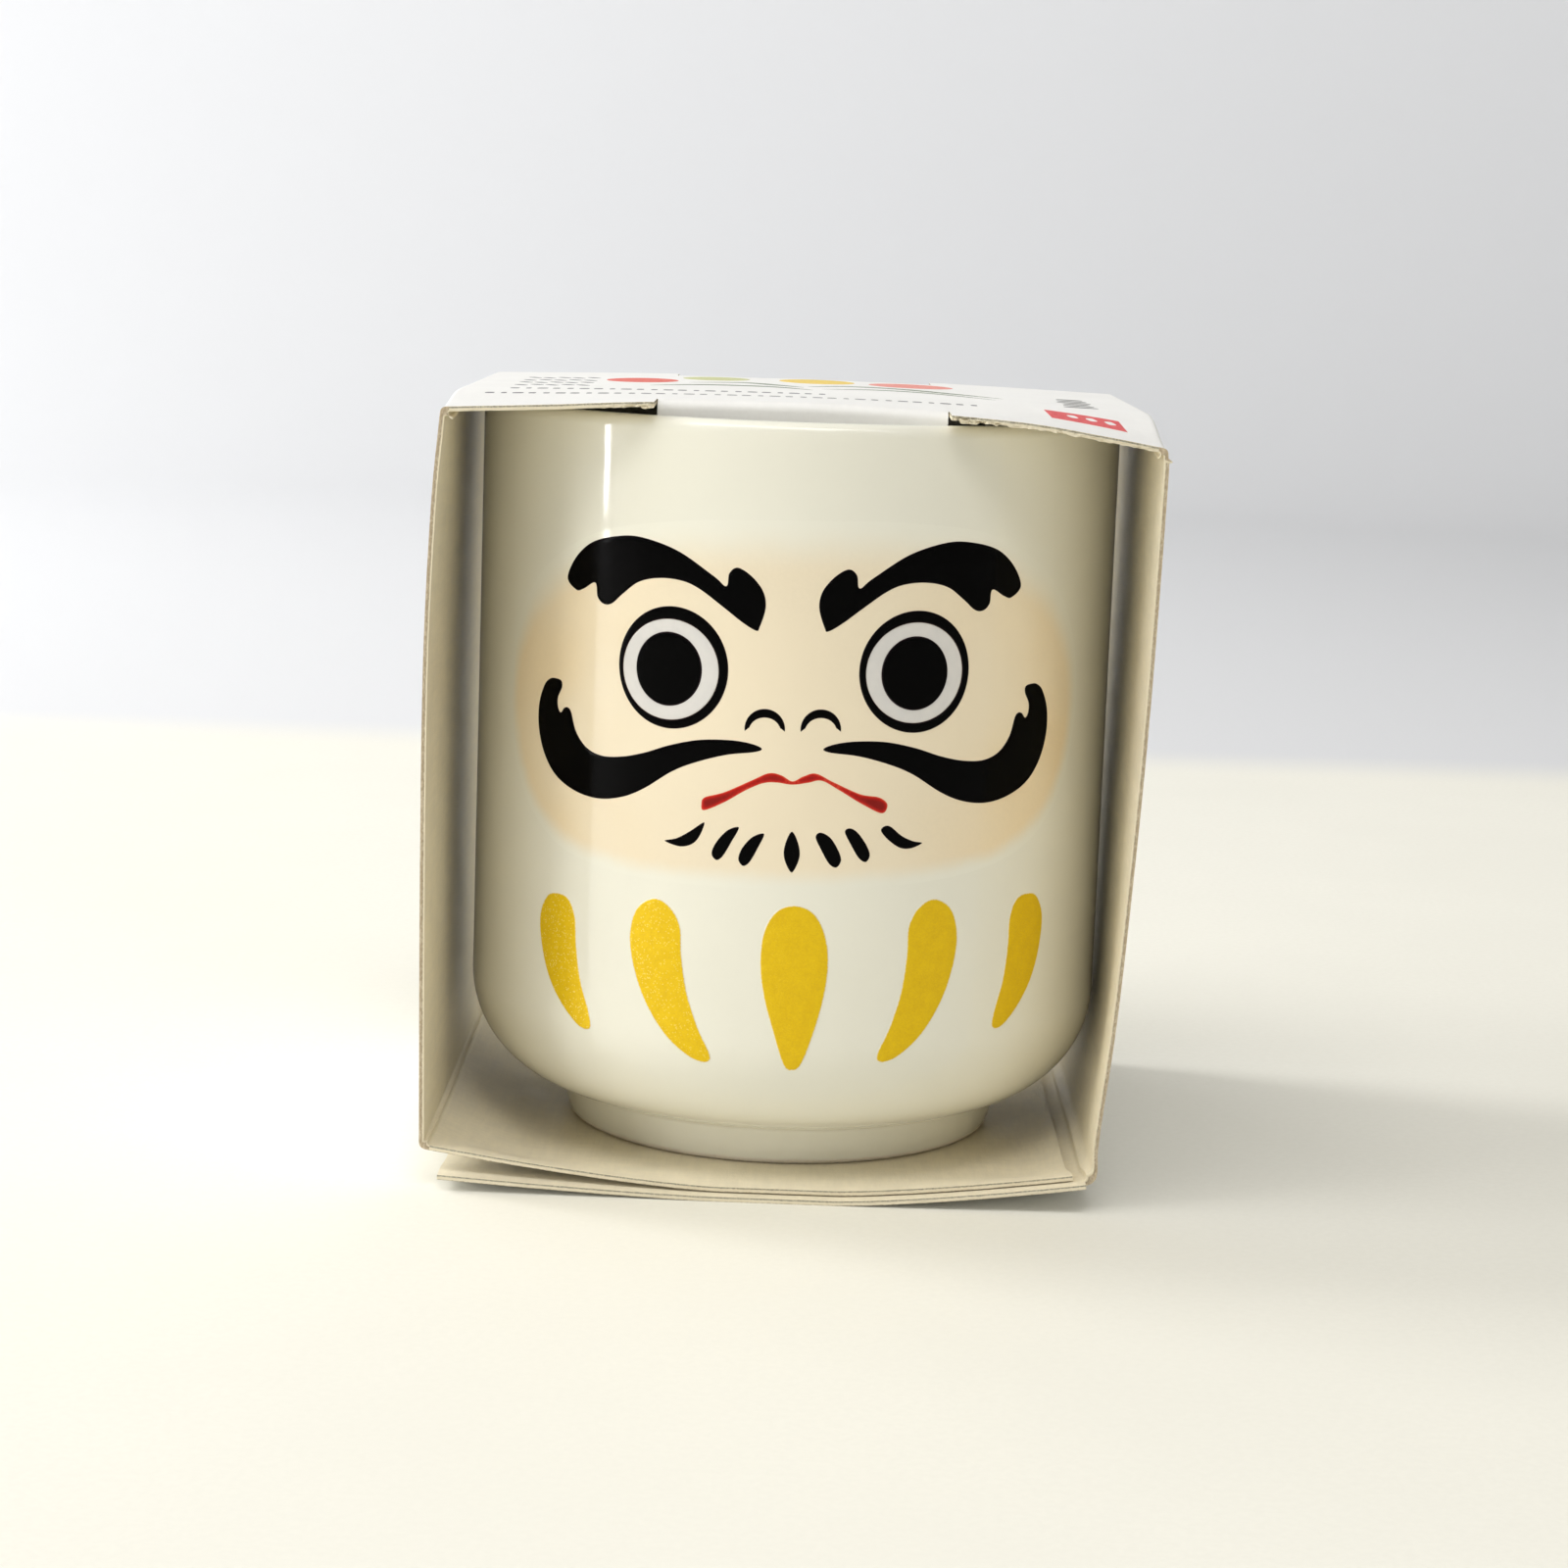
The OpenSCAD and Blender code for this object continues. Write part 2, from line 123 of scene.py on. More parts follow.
class StageSettings(bpy.types.PropertyGroup):
    table: colour("Table", "Colour of the table", (0.87, 0.855, 0.77))
    backdrop: colour("Backdrop", "Colour of the wall behind the table", (0.86, 0.87, 0.89))
    window: FloatProperty(name="Window", description="Power of the window light at the left", default=1.5,
                          min=0.0, unit="POWER")
    sky: FloatProperty(name="Sky", description="Strength of the soft light from all round", default=0.32,
                       min=0.0)


# ---------------------------------------------------------------- curves


def mix(a, b, t):
    """a at t = 0, b at t = 1, and a straight blend between."""
    return a * (1 - t) + b * t


def ease(t):
    """3 t^2 - 2 t^3 with t held between 0 and 1: it starts and ends level."""
    t = np.clip(t, 0, 1)
    return t * t * (3 - 2 * t)


def span(a, b, c, d, t):
    """One span of a Catmull-Rom curve, from b to c: a cubic whose slope at each end is half the step
    between that end's two neighbours."""
    return 0.5 * (2 * b + (c - a) * t + (2 * a - 5 * b + 4 * c - d) * t**2
                  + (3 * b - a - 3 * c + d) * t**3)


def outline(points, steps=12):
    """A smooth closed outline: every span of the Catmull-Rom curve at steps equal parameters."""
    p = np.array(points, float)
    t = (np.arange(steps) / steps)[None, :, None]
    a, b, c, d = (np.roll(p, k, 0)[:, None, :] for k in (1, 0, -1, -2))
    return span(a, b, c, d, t).reshape(-1, 2)


def along(points, u):
    """Points at u, from 0 to 1, on the smooth open curve through the points. The ends are continued
    straight."""
    p = np.array(points, float)
    p = np.vstack([2 * p[0] - p[1], p, 2 * p[-1] - p[-2]])
    last = len(p) - 3
    at = np.asarray(u, float) * last
    i = np.clip(np.floor(at).astype(int), 0, last - 1)
    return span(p[i], p[i + 1], p[i + 2], p[i + 3], (at - i)[..., None])


def ring(rx, rz, n=120):
    """An ellipse: (rx cos t, rz sin t)."""
    t = np.arange(n) * 2 * PI / n
    return np.stack([rx * np.cos(t), rz * np.sin(t)], -1)


def arc(centre, radius, start, stop, n):
    """Points on a circle from one angle to another, in degrees: centre + radius (cos t, sin t)."""
    t = np.radians(np.linspace(start, stop, n))
    return np.array(centre) + radius * np.stack([np.cos(t), np.sin(t)], -1)


def mirrored(points):
    """The points on the other side of the middle line: (-a, b)."""
    return [(-a, b) for a, b in points]


KNOTS, MIDDLE_KNOT = 4096, 1500


def jitter(x, pitch, seed):
    """Smooth random waviness between -1 and 1 along x: seeded random knots every pitch, joined by an
    eased blend. x = 0 falls on knot MIDDLE_KNOT."""
    knots = np.random.default_rng(seed).uniform(-1, 1, KNOTS)
    s = np.asarray(x, float) / pitch + MIDDLE_KNOT
    i = np.floor(s).astype(int)
    return mix(knots[i], knots[i + 1], ease(s - i))


# ---------------------------------------------------------------- meshes


def new_piece(name, points_mm, faces, body, slot, replaces, materials, indices=None, sharp=35):
    """A mesh object at the origin from points in millimetres, riding on a body."""
    mesh = bpy.data.meshes.new(name)
    mesh.from_pydata((np.asarray(points_mm, float) * MM).tolist(), [], [tuple(f) for f in faces])
    for material in materials:
        mesh.materials.append(material)
    if indices is not None:
        mesh.polygons.foreach_set("material_index", np.asarray(indices, np.int32))
    mesh.shade_smooth()
    mesh.set_sharp_from_angle(angle=math.radians(sharp))
    mesh.update()
    piece = bpy.data.objects.new(name, mesh)
    bpy.context.scene.collection.objects.link(piece)
    if body:
        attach(piece, body)
    if replaces:
        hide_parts(*replaces)
    return piece


def give(piece, name, values):
    """A number on each point of a piece, for its materials to read."""
    layer = piece.data.attributes.new(name, "FLOAT", "POINT")
    layer.data.foreach_set("value", np.asarray(values, np.float32).ravel())


def strip_faces(rows, turns):
    """Quads between the rows of a grid of points whose last column is joined to its first."""
    i = np.arange(rows * turns).reshape(rows, turns)
    i = np.hstack([i, i[:, :1]])
    return np.stack([i[:-1, :-1], i[:-1, 1:], i[1:, 1:], i[1:, :-1]], -1).reshape(-1, 4)


def lathe(profile, turns):
    """A turned solid: each profile point (r, z) goes round the axis as (r sin t, -r cos t, z). The first
    and last points lie on the axis and close it as single points."""
    body = profile[1:-1]
    t = np.arange(turns) * 2 * PI / turns
    x = body[:, :1] * np.sin(t)
    y = -body[:, :1] * np.cos(t)
    points = np.stack([x, y, np.broadcast_to(body[:, 1:], x.shape)], -1).reshape(-1, 3)
    points = np.vstack([points, [0, 0, profile[0][1]], [0, 0, profile[-1][1]]])
    faces = strip_faces(len(body), turns).tolist()
    low, high = len(points) - 2, len(points) - 1
    k = np.arange(turns)
    after = (k + 1) % turns
    last = (len(body) - 1) * turns
    faces += np.stack([np.full(turns, low), after, k], -1).tolist()
    faces += np.stack([np.full(turns, high), last + k, last + after], -1).tolist()
    return points, faces


def slab(lattice):
    """The closed skin of a lattice of points (along, across, depth): quads on its six sides, turned so
    that they face outwards. Returns points, faces, each point's depth from 0 to 1 and each face's side:
    0 outside, 1 inside and 2 a cut edge."""
    shape = lattice.shape[:3]
    number = np.arange(np.prod(shape)).reshape(shape)

    def side(i, flip):
        quads = np.stack([i[:-1, :-1], i[1:, :-1], i[1:, 1:], i[:-1, 1:]], -1).reshape(-1, 4)
        return quads[:, ::-1] if flip else quads

    sides = [side(number[:, :, 0], True), side(number[:, :, -1], False),
             side(number[:, 0, :], False), side(number[:, -1, :], True),
             side(number[0], True), side(number[-1], False)]
    kinds = np.repeat([0, 1, 2, 2, 2, 2], [len(s) for s in sides])
    faces = np.vstack(sides)
    used, faces = np.unique(faces, return_inverse=True)
    faces = faces.reshape(-1, 4)
    points = lattice.reshape(-1, 3)[used]
    depth = np.broadcast_to(np.linspace(0, 1, shape[2]), shape).reshape(-1)[used]
    a, b, c, d = (points[faces[:, k]] for k in range(4))
    volume = (np.cross(c - a, d - b) * (a + b + c + d)).sum()
    return points, faces if volume > 0 else faces[:, ::-1], depth, kinds


TINY = 1e-12
# A print's net: rows are this much closer than the points in them, the net keeps clear of the rim by
# these shares of the soft edge and of the grain, and a row of the rim's own keeps clear of the other
# outlines by this share of its inset. The feathered print starts at FEATHER_START of its height.
ROW_PITCH, CLEAR_SOFT, CLEAR_GRAIN, CLEAR_INSET, FEATHER_START = 0.87, 1.4, 0.4, 0.93, 0.25


def distance_to(loops, points):
    """Each point's distance from the nearest edge of the closed outlines, and whether it lies inside
    them by the even-odd rule."""
    nearest = np.full(len(points), np.inf)
    inside = np.zeros(len(points), bool)
    for loop in loops:
        a, b = loop, np.roll(loop, -1, 0)
        d = b - a
        t = ((points[:, None] - a) * d).sum(-1) / np.maximum((d * d).sum(-1), TINY)
        foot = a + np.clip(t, 0, 1)[..., None] * d
        nearest = np.minimum(nearest, np.linalg.norm(points[:, None] - foot, axis=-1).min(1))
        rise = (a[:, 1] > points[:, None, 1]) != (b[:, 1] > points[:, None, 1])
        across = np.where(d[:, 1] == 0, TINY, d[:, 1])
        reach = a[:, 0] + (points[:, None, 1] - a[:, 1]) * d[:, 0] / across
        inside ^= (rise & (points[:, None, 0] < reach)).sum(1) % 2 == 1
    return nearest, inside


def rim_rows(loop, insets):
    """The loop moved along its normals to both sides by each inset, as (points, inset)."""
    step = np.roll(loop, -1, 0) - np.roll(loop, 1, 0)
    normal = np.stack([-step[:, 1], step[:, 0]], -1)
    normal /= np.maximum(np.linalg.norm(normal, axis=1, keepdims=True), 1e-9)
    return [(loop + sign * normal * inset, inset) for inset in insets for sign in (1, -1)]


def film(name, loops, place, low, high, body, slot, replaces, material, grain=0.6, soft=0.16, feather=0):
    """A thin layer of print. The outlines are filled with a fine net of triangles on the flat, and every
    point (a, b) is carried to place(a, b, h). On the face h rises from 0 at the rim to high as
    high sqrt(1 - (1 - d / soft)^2), where d is the distance from the rim, or with a feather as
    high (0.25 + 0.75 ease(d / feather)); on the back h is low. The piece stores each point's distance
    from the rim, and from the first outline alone."""
    loops = [np.asarray(loop, float) for loop in loops]
    rim = np.vstack(loops)
    low_corner, high_corner = rim.min(0), rim.max(0)
    ga, gb = np.meshgrid(np.arange(low_corner[0], high_corner[0], grain),
                         np.arange(low_corner[1], high_corner[1], grain * ROW_PITCH), indexing="ij")
    ga = ga + (np.arange(ga.shape[1]) % 2) * grain / 2
    net = np.stack([ga, gb], -1).reshape(-1, 2)
    away, within = distance_to(loops, net)
    net = net[within & (away > max(soft * CLEAR_SOFT, grain * CLEAR_GRAIN))]
    for row, inset in [pair for loop in loops for pair in rim_rows(loop, (0.3 * soft, soft))]:
        away, within = distance_to(loops, row)
        net = np.vstack([net, row[within & (away > inset * CLEAR_INSET)]])
    starts = np.cumsum([0] + [len(loop) for loop in loops])
    edges = [(s + k, s + (k + 1) % len(loop)) for s, loop in zip(starts, loops) for k in range(len(loop))]
    flat = np.vstack([rim, net])
    verts, _, tris, *_ = delaunay_2d_cdt([Vector(p) for p in flat.tolist()], edges, [], 0, 1e-6)
    flat = np.array(verts, float)
    tris = np.array(tris, int)
    _, keep = distance_to(loops, flat[tris].mean(1))
    tris = tris[keep]
    used, tris = np.unique(tris, return_inverse=True)
    tris, flat = tris.reshape(-1, 3), flat[used]
    p, q, r = (flat[tris[:, k]] for k in range(3))
    area = (q[:, 0] - p[:, 0]) * (r[:, 1] - p[:, 1]) - (q[:, 1] - p[:, 1]) * (r[:, 0] - p[:, 0])
    tris = np.where(area[:, None] > 0, tris, tris[:, ::-1])
    away, _ = distance_to(loops, flat)
    away = np.where(away < 1e-5, 0, away)
    round_edge = np.sqrt(1 - (1 - np.clip(away / soft, 0, 1)) ** 2)
    face_h = high * (mix(FEATHER_START, 1, ease(away / feather)) if feather else round_edge)
    count = len(flat)
    directed = np.vstack([tris[:, [0, 1]], tris[:, [1, 2]], tris[:, [2, 0]]])
    pairs = np.sort(directed, 1)
    _, back, seen = np.unique(pairs[:, 0] * count + pairs[:, 1], return_inverse=True, return_counts=True)
    border = directed[seen[back] == 1]
    points = np.vstack([place(flat[:, 0], flat[:, 1], face_h),
                        place(flat[:, 0], flat[:, 1], np.full(count, low))])
    a, b = border.T
    faces = tris.tolist() + (tris[:, ::-1] + count).tolist() + \
        np.stack([b, a, a + count, b + count], -1).tolist()
    piece = new_piece(name, points, faces, body, slot, replaces, [material])
    give(piece, "rim", np.tile(away, 2))
    give(piece, "outer_rim", np.tile(distance_to(loops[:1], flat)[0], 2))
    return piece


# ---------------------------------------------------------------- materials


class Wire:
    """A node's output. The sums written with it add their Math nodes."""

    def __init__(self, paint, socket):
        self.paint, self.socket = paint, socket

    def math(self, operation, *values):
        """A Math node with its operation and the values or links of its sockets."""
        return self.paint.node("ShaderNodeMath", {"operation": operation}, dict(enumerate(values)))

    def __add__(self, other):
        return self.math("ADD", self, other)

    def __sub__(self, other):
        return self.math("SUBTRACT", self, other)

    def __rsub__(self, other):
        return self.math("SUBTRACT", other, self)

    def __mul__(self, other):
        return self.math("MULTIPLY", self, other)

    def __gt__(self, other):
        return self.math("GREATER_THAN", self, other)

    def __abs__(self):
        return self.math("ABSOLUTE", self)

    def or_more(self, other):
        return self.math("MAXIMUM", self, other)

    __radd__ = __add__
    __rmul__ = __mul__


class Paint:
    """A material: its method node adds any node, and the others are short for the nodes used most."""

    def __init__(self, name, specular):
        self.material = bpy.data.materials.new(name)
        self.material.use_nodes = True
        self.tree = self.material.node_tree
        self.tree.nodes.clear()
        self.shader = self.tree.nodes.new("ShaderNodeBsdfPrincipled")
        output = self.tree.nodes.new("ShaderNodeOutputMaterial")
        self.tree.links.new(self.shader.outputs[0], output.inputs[0])
        self.put(self.shader, "IOR", 1.5)
        self.put(self.shader, "Specular IOR Level", specular)

    def put(self, node, socket, value):
        """A value or a link for a socket."""
        if isinstance(value, Wire):
            self.tree.links.new(value.socket, node.inputs[socket])
        else:
            if node.inputs[socket].type == "RGBA" and len(value) == 3:
                value = (*value, 1.0)
            node.inputs[socket].default_value = value

    def node(self, kind, settings=None, values=None, output=0):
        """Any node: its type, its settings or a ramp's stops, the values or links of its sockets, and the
        output that is wanted."""
        node = self.tree.nodes.new(kind)
        for key, value in (settings or {}).items():
            if key == "stops":
                ramp = node.color_ramp.elements
                while len(ramp) < len(value):
                    ramp.new(0.5)
                for stop, (place, rgb) in zip(ramp, value):
                    stop.position, stop.color = place, (*rgb, 1.0)
            else:
                setattr(node, key, value)
        for socket, value in (values or {}).items():
            self.put(node, socket, value)
        return Wire(self, node.outputs[output])

    def place(self):
        return self.node("ShaderNodeTexCoord", output="Object")

    def axis(self, which):
        return self.node("ShaderNodeSeparateXYZ", values={0: self.place()}, output=which)

    def stored(self, name):
        return self.node("ShaderNodeAttribute", {"attribute_name": name}, output="Fac")

    def noise(self, per_mm, detail=3.0, rough=0.55, stretch=(1, 1, 1)):
        at = self.node("ShaderNodeMapping", {"vector_type": "POINT"},
                       {"Vector": self.place(), "Scale": stretch})
        return self.node("ShaderNodeTexNoise", {}, {"Vector": at, "Scale": per_mm / MM, "Detail": detail,
                                                    "Roughness": rough}, "Fac")

    def cells(self, per_mm, output="Distance"):
        return self.node("ShaderNodeTexVoronoi", {}, {"Vector": self.place(), "Scale": per_mm / MM}, output)

    def between(self, wire, low, high, smooth=True):
        return self.node("ShaderNodeMapRange", {"interpolation_type": "SMOOTHSTEP" if smooth else "LINEAR"},
                         {"Value": wire, "From Min": low, "From Max": high})

    def ramp(self, wire, stops):
        return self.node("ShaderNodeValToRGB", {"stops": stops}, {0: wire})

    def blend(self, factor, a, b):
        """Colour a at factor 0 and b at 1: sockets 6 and 7 are the node's colours, output 2 its result."""
        return self.node("ShaderNodeMix", {"data_type": "RGBA", "clamp_factor": True},
                         {0: factor, 6: a, 7: b}, 2)

    def relief(self, height, depth_mm, strength):
        self.put(self.shader, "Normal", self.node("ShaderNodeBump", {}, {
            "Strength": strength, "Distance": depth_mm * MM, "Height": height}))

    def finish(self, base, roughness):
        self.put(self.shader, "Base Color", base)
        self.put(self.shader, "Roughness", roughness)
        return self.material


def shade(rgb, factor):
    """The colour made darker or lighter by a factor, and held to 1."""
    return tuple(min(1.0, c * factor) for c in rgb)


def paint_porcelain(cup):
    """White glaze: faintly cloudy, with a few iron specks, fully glossy; the standing edge of the foot
    ring is bare clay."""
    p = Paint("white_porcelain", 0.55)
    cloud = p.between(p.noise(0.05, 4), 0.3, 0.7)
    base = p.blend(cloud, shade(cup.glaze, 0.975), cup.glaze)
    speck = (1 - p.between(p.cells(0.085), 0.0, 0.02)) * (p.noise(0.021, 0.0) > 0.56)
    base = p.blend(speck * 0.75, base, (0.16, 0.13, 0.10))
    z = p.axis("Z")
    wander = (p.noise(0.35, 3) - 0.5) * 0.0004
    clay = 1 - p.between(z + wander, (FOOT_Z + 0.35) * MM, (FOOT_Z + 0.75) * MM)
    grit = p.noise(3.0, 4, 0.7)
    base = p.blend(clay, base, p.blend(grit, (0.60, 0.53, 0.43), (0.78, 0.72, 0.62)))
    gloss = 0.045 + 0.05 * p.between(p.noise(0.12, 3), 0.35, 0.75) + clay * 0.55
    p.relief((p.noise(0.16, 2) - 0.5) * (1 - clay) + grit * clay * 0.6, 0.035, 0.35)
    return p.finish(base, gloss)


def paint_eye_white():
    """The white of the eyes: a cool thin wash over the glaze, as glossy as the glaze."""
    p = Paint("eye_wash", 0.55)
    wash = p.between(p.noise(0.6, 3), 0.3, 0.7)
    p.relief(p.noise(0.16, 2), 0.03, 0.35)
    return p.finish(p.blend(wash, (0.70, 0.685, 0.665), (0.735, 0.715, 0.69)), 0.06)


def paint_flesh(cup):
    """Cream ground of the face: it fades out over the last few millimetres at its rim, more at the top,
    is warmer towards the cheeks, and has the faint mottle of a screened colour."""
    p = Paint("flesh_enamel", 0.55)
    z = p.axis("Z")
    high = p.between(z, (FOOT_Z + 50) * MM, (FOOT_Z + 68) * MM)
    fade = p.stored("outer_rim") + (p.noise(0.25, 3) - 0.5) * 0.9
    body = p.between(fade, 0.1, 2.4 + 3.4 * high)
    screen = p.between(p.noise(2.2, 2, 0.6), 0.3, 0.7)
    cheek = p.between(abs(p.axis("X")), 8 * MM, 27 * MM)
    warm = p.blend(cheek, cup.flesh, (0.90, 0.735, 0.48))
    tone = p.blend(screen * 0.06, warm, shade(cup.flesh, 0.7))
    low_tone = p.blend(p.between(p.noise(0.04, 2), 0.35, 0.65), tone, shade(cup.flesh, 1.03))
    gloss = 0.06 + 0.05 * p.between(p.noise(0.12, 3), 0.35, 0.75)
    p.relief(p.noise(0.16, 2), 0.035, 0.35)
    return p.finish(p.blend(body, cup.glaze, low_tone), gloss)


def paint_black(cup):
    """Black enamel: glossy, thinner and a little brown at the rim, with faint dust-size pits."""
    p = Paint("black_enamel", 0.04)
    thin = 1 - p.between(p.stored("rim") + (p.noise(1.6, 2) - 0.5) * 0.1, 0.0, 0.16)
    base = p.blend(thin, cup.black, (0.030, 0.018, 0.022))
    pits = p.between(p.noise(4.0, 3, 0.7), 0.55, 0.8)
    gloss = 0.10 + 0.10 * pits + 0.05 * p.between(p.noise(0.12, 3), 0.35, 0.75)
    p.relief(p.noise(0.9, 3) - 0.3 * pits, 0.02, 0.5)
    return p.finish(base, gloss)


def paint_red(cup):
    """Red enamel: deep in the middle of the line and salmon where it thins out at the rim."""
    p = Paint("red_enamel", 0.2)
    wave = p.stored("rim") + (p.noise(1.2, 2) - 0.5) * 0.16
    base = p.ramp(p.between(wave, 0.0, 0.52, smooth=False), [
        (0.0, (0.74, 0.20, 0.11)), (0.16, (0.66, 0.055, 0.025)), (0.34, cup.red),
        (0.85, shade(cup.red, 0.5))])
    p.relief(p.noise(1.4, 3), 0.02, 0.5)
    return p.finish(base, 0.16 + 0.10 * p.noise(2.0, 3))


def paint_gold(cup):
    """Gold enamel: fine metal flakes, each with its own brightness, and a few of them painted pale as painted
    glints on the side of the window, in a yellow ground that thins out softly at the rim."""
    p = Paint("gold_enamel", 0.25)
    flake = p.node("ShaderNodeSeparateColor", values={0: p.cells(8.5, "Color")}, output=0)
    coarse = p.between(p.noise(0.9, 4, 0.65), 0.3, 0.7)
    base = p.blend(coarse * 0.3 + flake * 0.45, shade(cup.gold, 0.93), (0.90, 0.63, 0.008))
    soft = p.between(p.stored("rim") + (p.noise(5.0, 3, 0.7) - 0.5) * 0.22, 0.0, 0.16)
    base = p.blend(soft, shade(cup.glaze, 0.94), base)
    # Painted highlight: the brightest flakes are painted pale gold towards the window's side (-X), as glints.
    painted_glint = (flake > 0.93) * soft * p.between(0 - p.axis("X"), -5 * MM, 25 * MM)
    base = p.blend(painted_glint * 0.45, base, (0.95, 0.84, 0.32))
    p.put(p.shader, "Metallic", (0.06 + 0.22 * flake) * soft)
    p.relief(flake * 0.6 + p.noise(2.2, 3, 0.7), 0.03, 0.55)
    return p.finish(base, 0.30 + 0.2 * flake + 0.06 * coarse)


def paint_board(name, rgb, tint, gloss, fibre, relief):
    """Paperboard: pulp fibres as two crossing stretched noises, a soft cloudy tone, and scattered darker
    flecks."""
    p = Paint(name, 0.4)
    long_fibre = p.noise(1.1, 4, 0.7, (1, 0.16, 1))
    cross_fibre = p.noise(1.3, 4, 0.7, (0.3, 1, 0.3))
    pulp = p.between(long_fibre * 0.55 + cross_fibre * 0.45, 0.36, 0.64)
    cloud = p.between(p.noise(0.09, 3), 0.3, 0.7)
    base = p.blend(pulp * fibre + cloud * 0.35, shade(rgb, 1.015), tint)
    fleck = (p.noise(2.6, 2, 0.6, (1, 0.35, 1)) > 0.735) * fibre
    base = p.blend(fleck * 0.5, base, shade(tint, 0.72))
    p.relief(pulp + p.noise(4.0, 3, 0.7) * 0.5, relief, 0.6)
    return p.finish(base, gloss + 0.12 * (1 - pulp))


def paint_cut(sleeve, name, stops):
    """A cut edge of board: bands across the thickness, broken by ragged fibres."""
    p = Paint(name, 0.2)
    ragged = p.noise(2.8, 4, 0.7)
    band = p.stored("depth") + (ragged - 0.5) * 0.30
    base = p.ramp(band, stops)
    hair = p.between(p.noise(5.5, 3, 0.75, (1, 1, 0.4)), 0.42, 0.66)
    base = p.blend(hair * 0.45, base, shade(sleeve.liner, 1.05))
    p.relief(ragged + p.noise(7.0, 3, 0.8), 0.12, 0.9)
    return p.finish(base, 0.92)


def paint_ink(name, rgb, second):
    """Printed ink: a half-tone of two close colours and a light satin gloss."""
    p = Paint(name, 0.4)
    screen = p.between(p.noise(1.8, 3, 0.6), 0.35, 0.65)
    p.relief(p.noise(4.0, 3), 0.01, 0.4)
    return p.finish(p.blend(screen, rgb, second), 0.42 + 0.15 * p.noise(1.2, 3))


def paint_glue():
    """Dried glue: amber, uneven and satin."""
    p = Paint("dried_glue", 0.5)
    clot = p.between(p.noise(0.5, 4, 0.65), 0.3, 0.7)
    p.relief(clot, 0.05, 0.6)
    return p.finish(p.blend(clot, (0.74, 0.66, 0.46), (0.86, 0.81, 0.66)), 0.35 + 0.25 * clot)


def paint_table(stage):
    """Painted table top with a fine orange-peel skin; behind its far edge the tone turns softly to that of
    the wall, which is painted darker from left to right as painted shade away from the window."""
    p = Paint("table_top", 0.25)
    x, y = p.axis("X"), p.axis("Y")
    edge = p.between(y - x * 0.01, 0.262, 0.30).or_more(p.between(p.axis("Z"), 0.02, 0.2))
    mottle = p.between(p.noise(0.02, 4), 0.3, 0.7)
    top = p.blend(mottle, shade(stage.table, 0.985), shade(stage.table, 1.01))
    grain = p.between(p.noise(1.2, 3, 0.6), 0.3, 0.7)
    top = p.blend(grain * 0.5, top, shade(stage.table, 0.96))
    p.relief(p.noise(0.9, 3, 0.55) * (1 - edge), 0.05, 0.35)
    # Painted shade: the wall darkens from left to right, as if the window's light at the left fell off.
    wall = p.blend(p.between(x, -0.9, 0.8), stage.backdrop, shade(stage.backdrop, 0.72))
    return p.finish(p.blend(edge, top, wall), 0.55 + 0.1 * grain)


# ---------------------------------------------------------------- the cup's outlines

# (distance along the cup's surface from the front, height above the foot) in millimetres, before the
# lean. The brow, the moustache and the gold are given for the viewer's left and mirrored for the right,
# and the first two are then turned a little; the whiskers on the right have outlines of their own.
BROW = [(-25.8, 63.2), (-24.6, 65.4), (-22.3, 67.1), (-19, 67.9), (-16, 67.9), (-12, 66.7),
        (-8.2, 64.3), (-6.9, 63.3), (-6.6, 64.6), (-5.7, 65.2), (-4.3, 64.4), (-3.1, 62.9),
        (-2.8, 61.2), (-3.4, 59.2), (-3.8, 58.8), (-5.2, 59.6), (-7.2, 61.1), (-9.6, 62.8),
        (-11.5, 63.6), (-14, 63.8), (-16.4, 63.3), (-18.3, 62), (-19.7, 60.9), (-20.8, 60.8),
        (-21.6, 61.5), (-21.9, 62.9), (-23.4, 62.2), (-24.5, 62)]
MOUSTACHE = [(-27.4, 52.6), (-26.6, 52.4), (-26.5, 51.7), (-27.1, 50.6), (-27.1, 49.6),
             (-26.7, 49.1), (-26.2, 49.6), (-25.6, 49.7), (-25.1, 49.2), (-24.4, 47.3), (-23, 45.8),
             (-21, 45.1), (-18.5, 45.2), (-15.8, 45.8), (-12.8, 46.8), (-9.6, 47.5), (-6.4, 47.6),
             (-4.2, 47.3), (-3.1, 46.8), (-3.8, 46.4), (-6.8, 46), (-10, 45.1), (-12.6, 44),
             (-15.8, 42), (-18.5, 40.9), (-21.5, 40.5), (-24.6, 41), (-27.4, 42.3), (-29.3, 44.4),
             (-30.3, 47), (-30.3, 49.6), (-29.4, 51.7), (-28.4, 52.5)]
MOUTH = [(-9.4, 40.9), (-9, 41.6), (-7, 42.2), (-4.2, 43.5), (-2.4, 44.3), (-1.1, 44.1), (0, 43.5),
         (1.1, 44), (2.4, 44.3), (4.2, 43.4), (7, 42.1), (9, 41.7), (9.9, 40.9), (9.3, 40),
         (7.2, 41), (4.8, 42.5), (3, 43.5), (1.6, 43.3), (0, 43.1), (-1.6, 43.3), (-3, 43.2),
         (-4.8, 42.4), (-7, 41.1), (-9.1, 40.2)]
WING = [(-13.4, 36.8), (-12, 37.2), (-10.6, 38), (-9.1, 39), (-9.2, 38.2), (-9.8, 37.1), (-10.6, 36.5),
        (-11.8, 36.3)]
OUTER_LEAF = [(-5.4, 38.6), (-6.6, 38.3), (-7.8, 37), (-8.3, 35.8), (-7.8, 35.1), (-7.1, 35.5), (-6.2, 37)]
INNER_LEAF = [(-2.8, 38), (-4, 37.7), (-5.1, 36.5), (-5.5, 35.3), (-5, 34.6), (-4.3, 35), (-3.5, 36.4)]
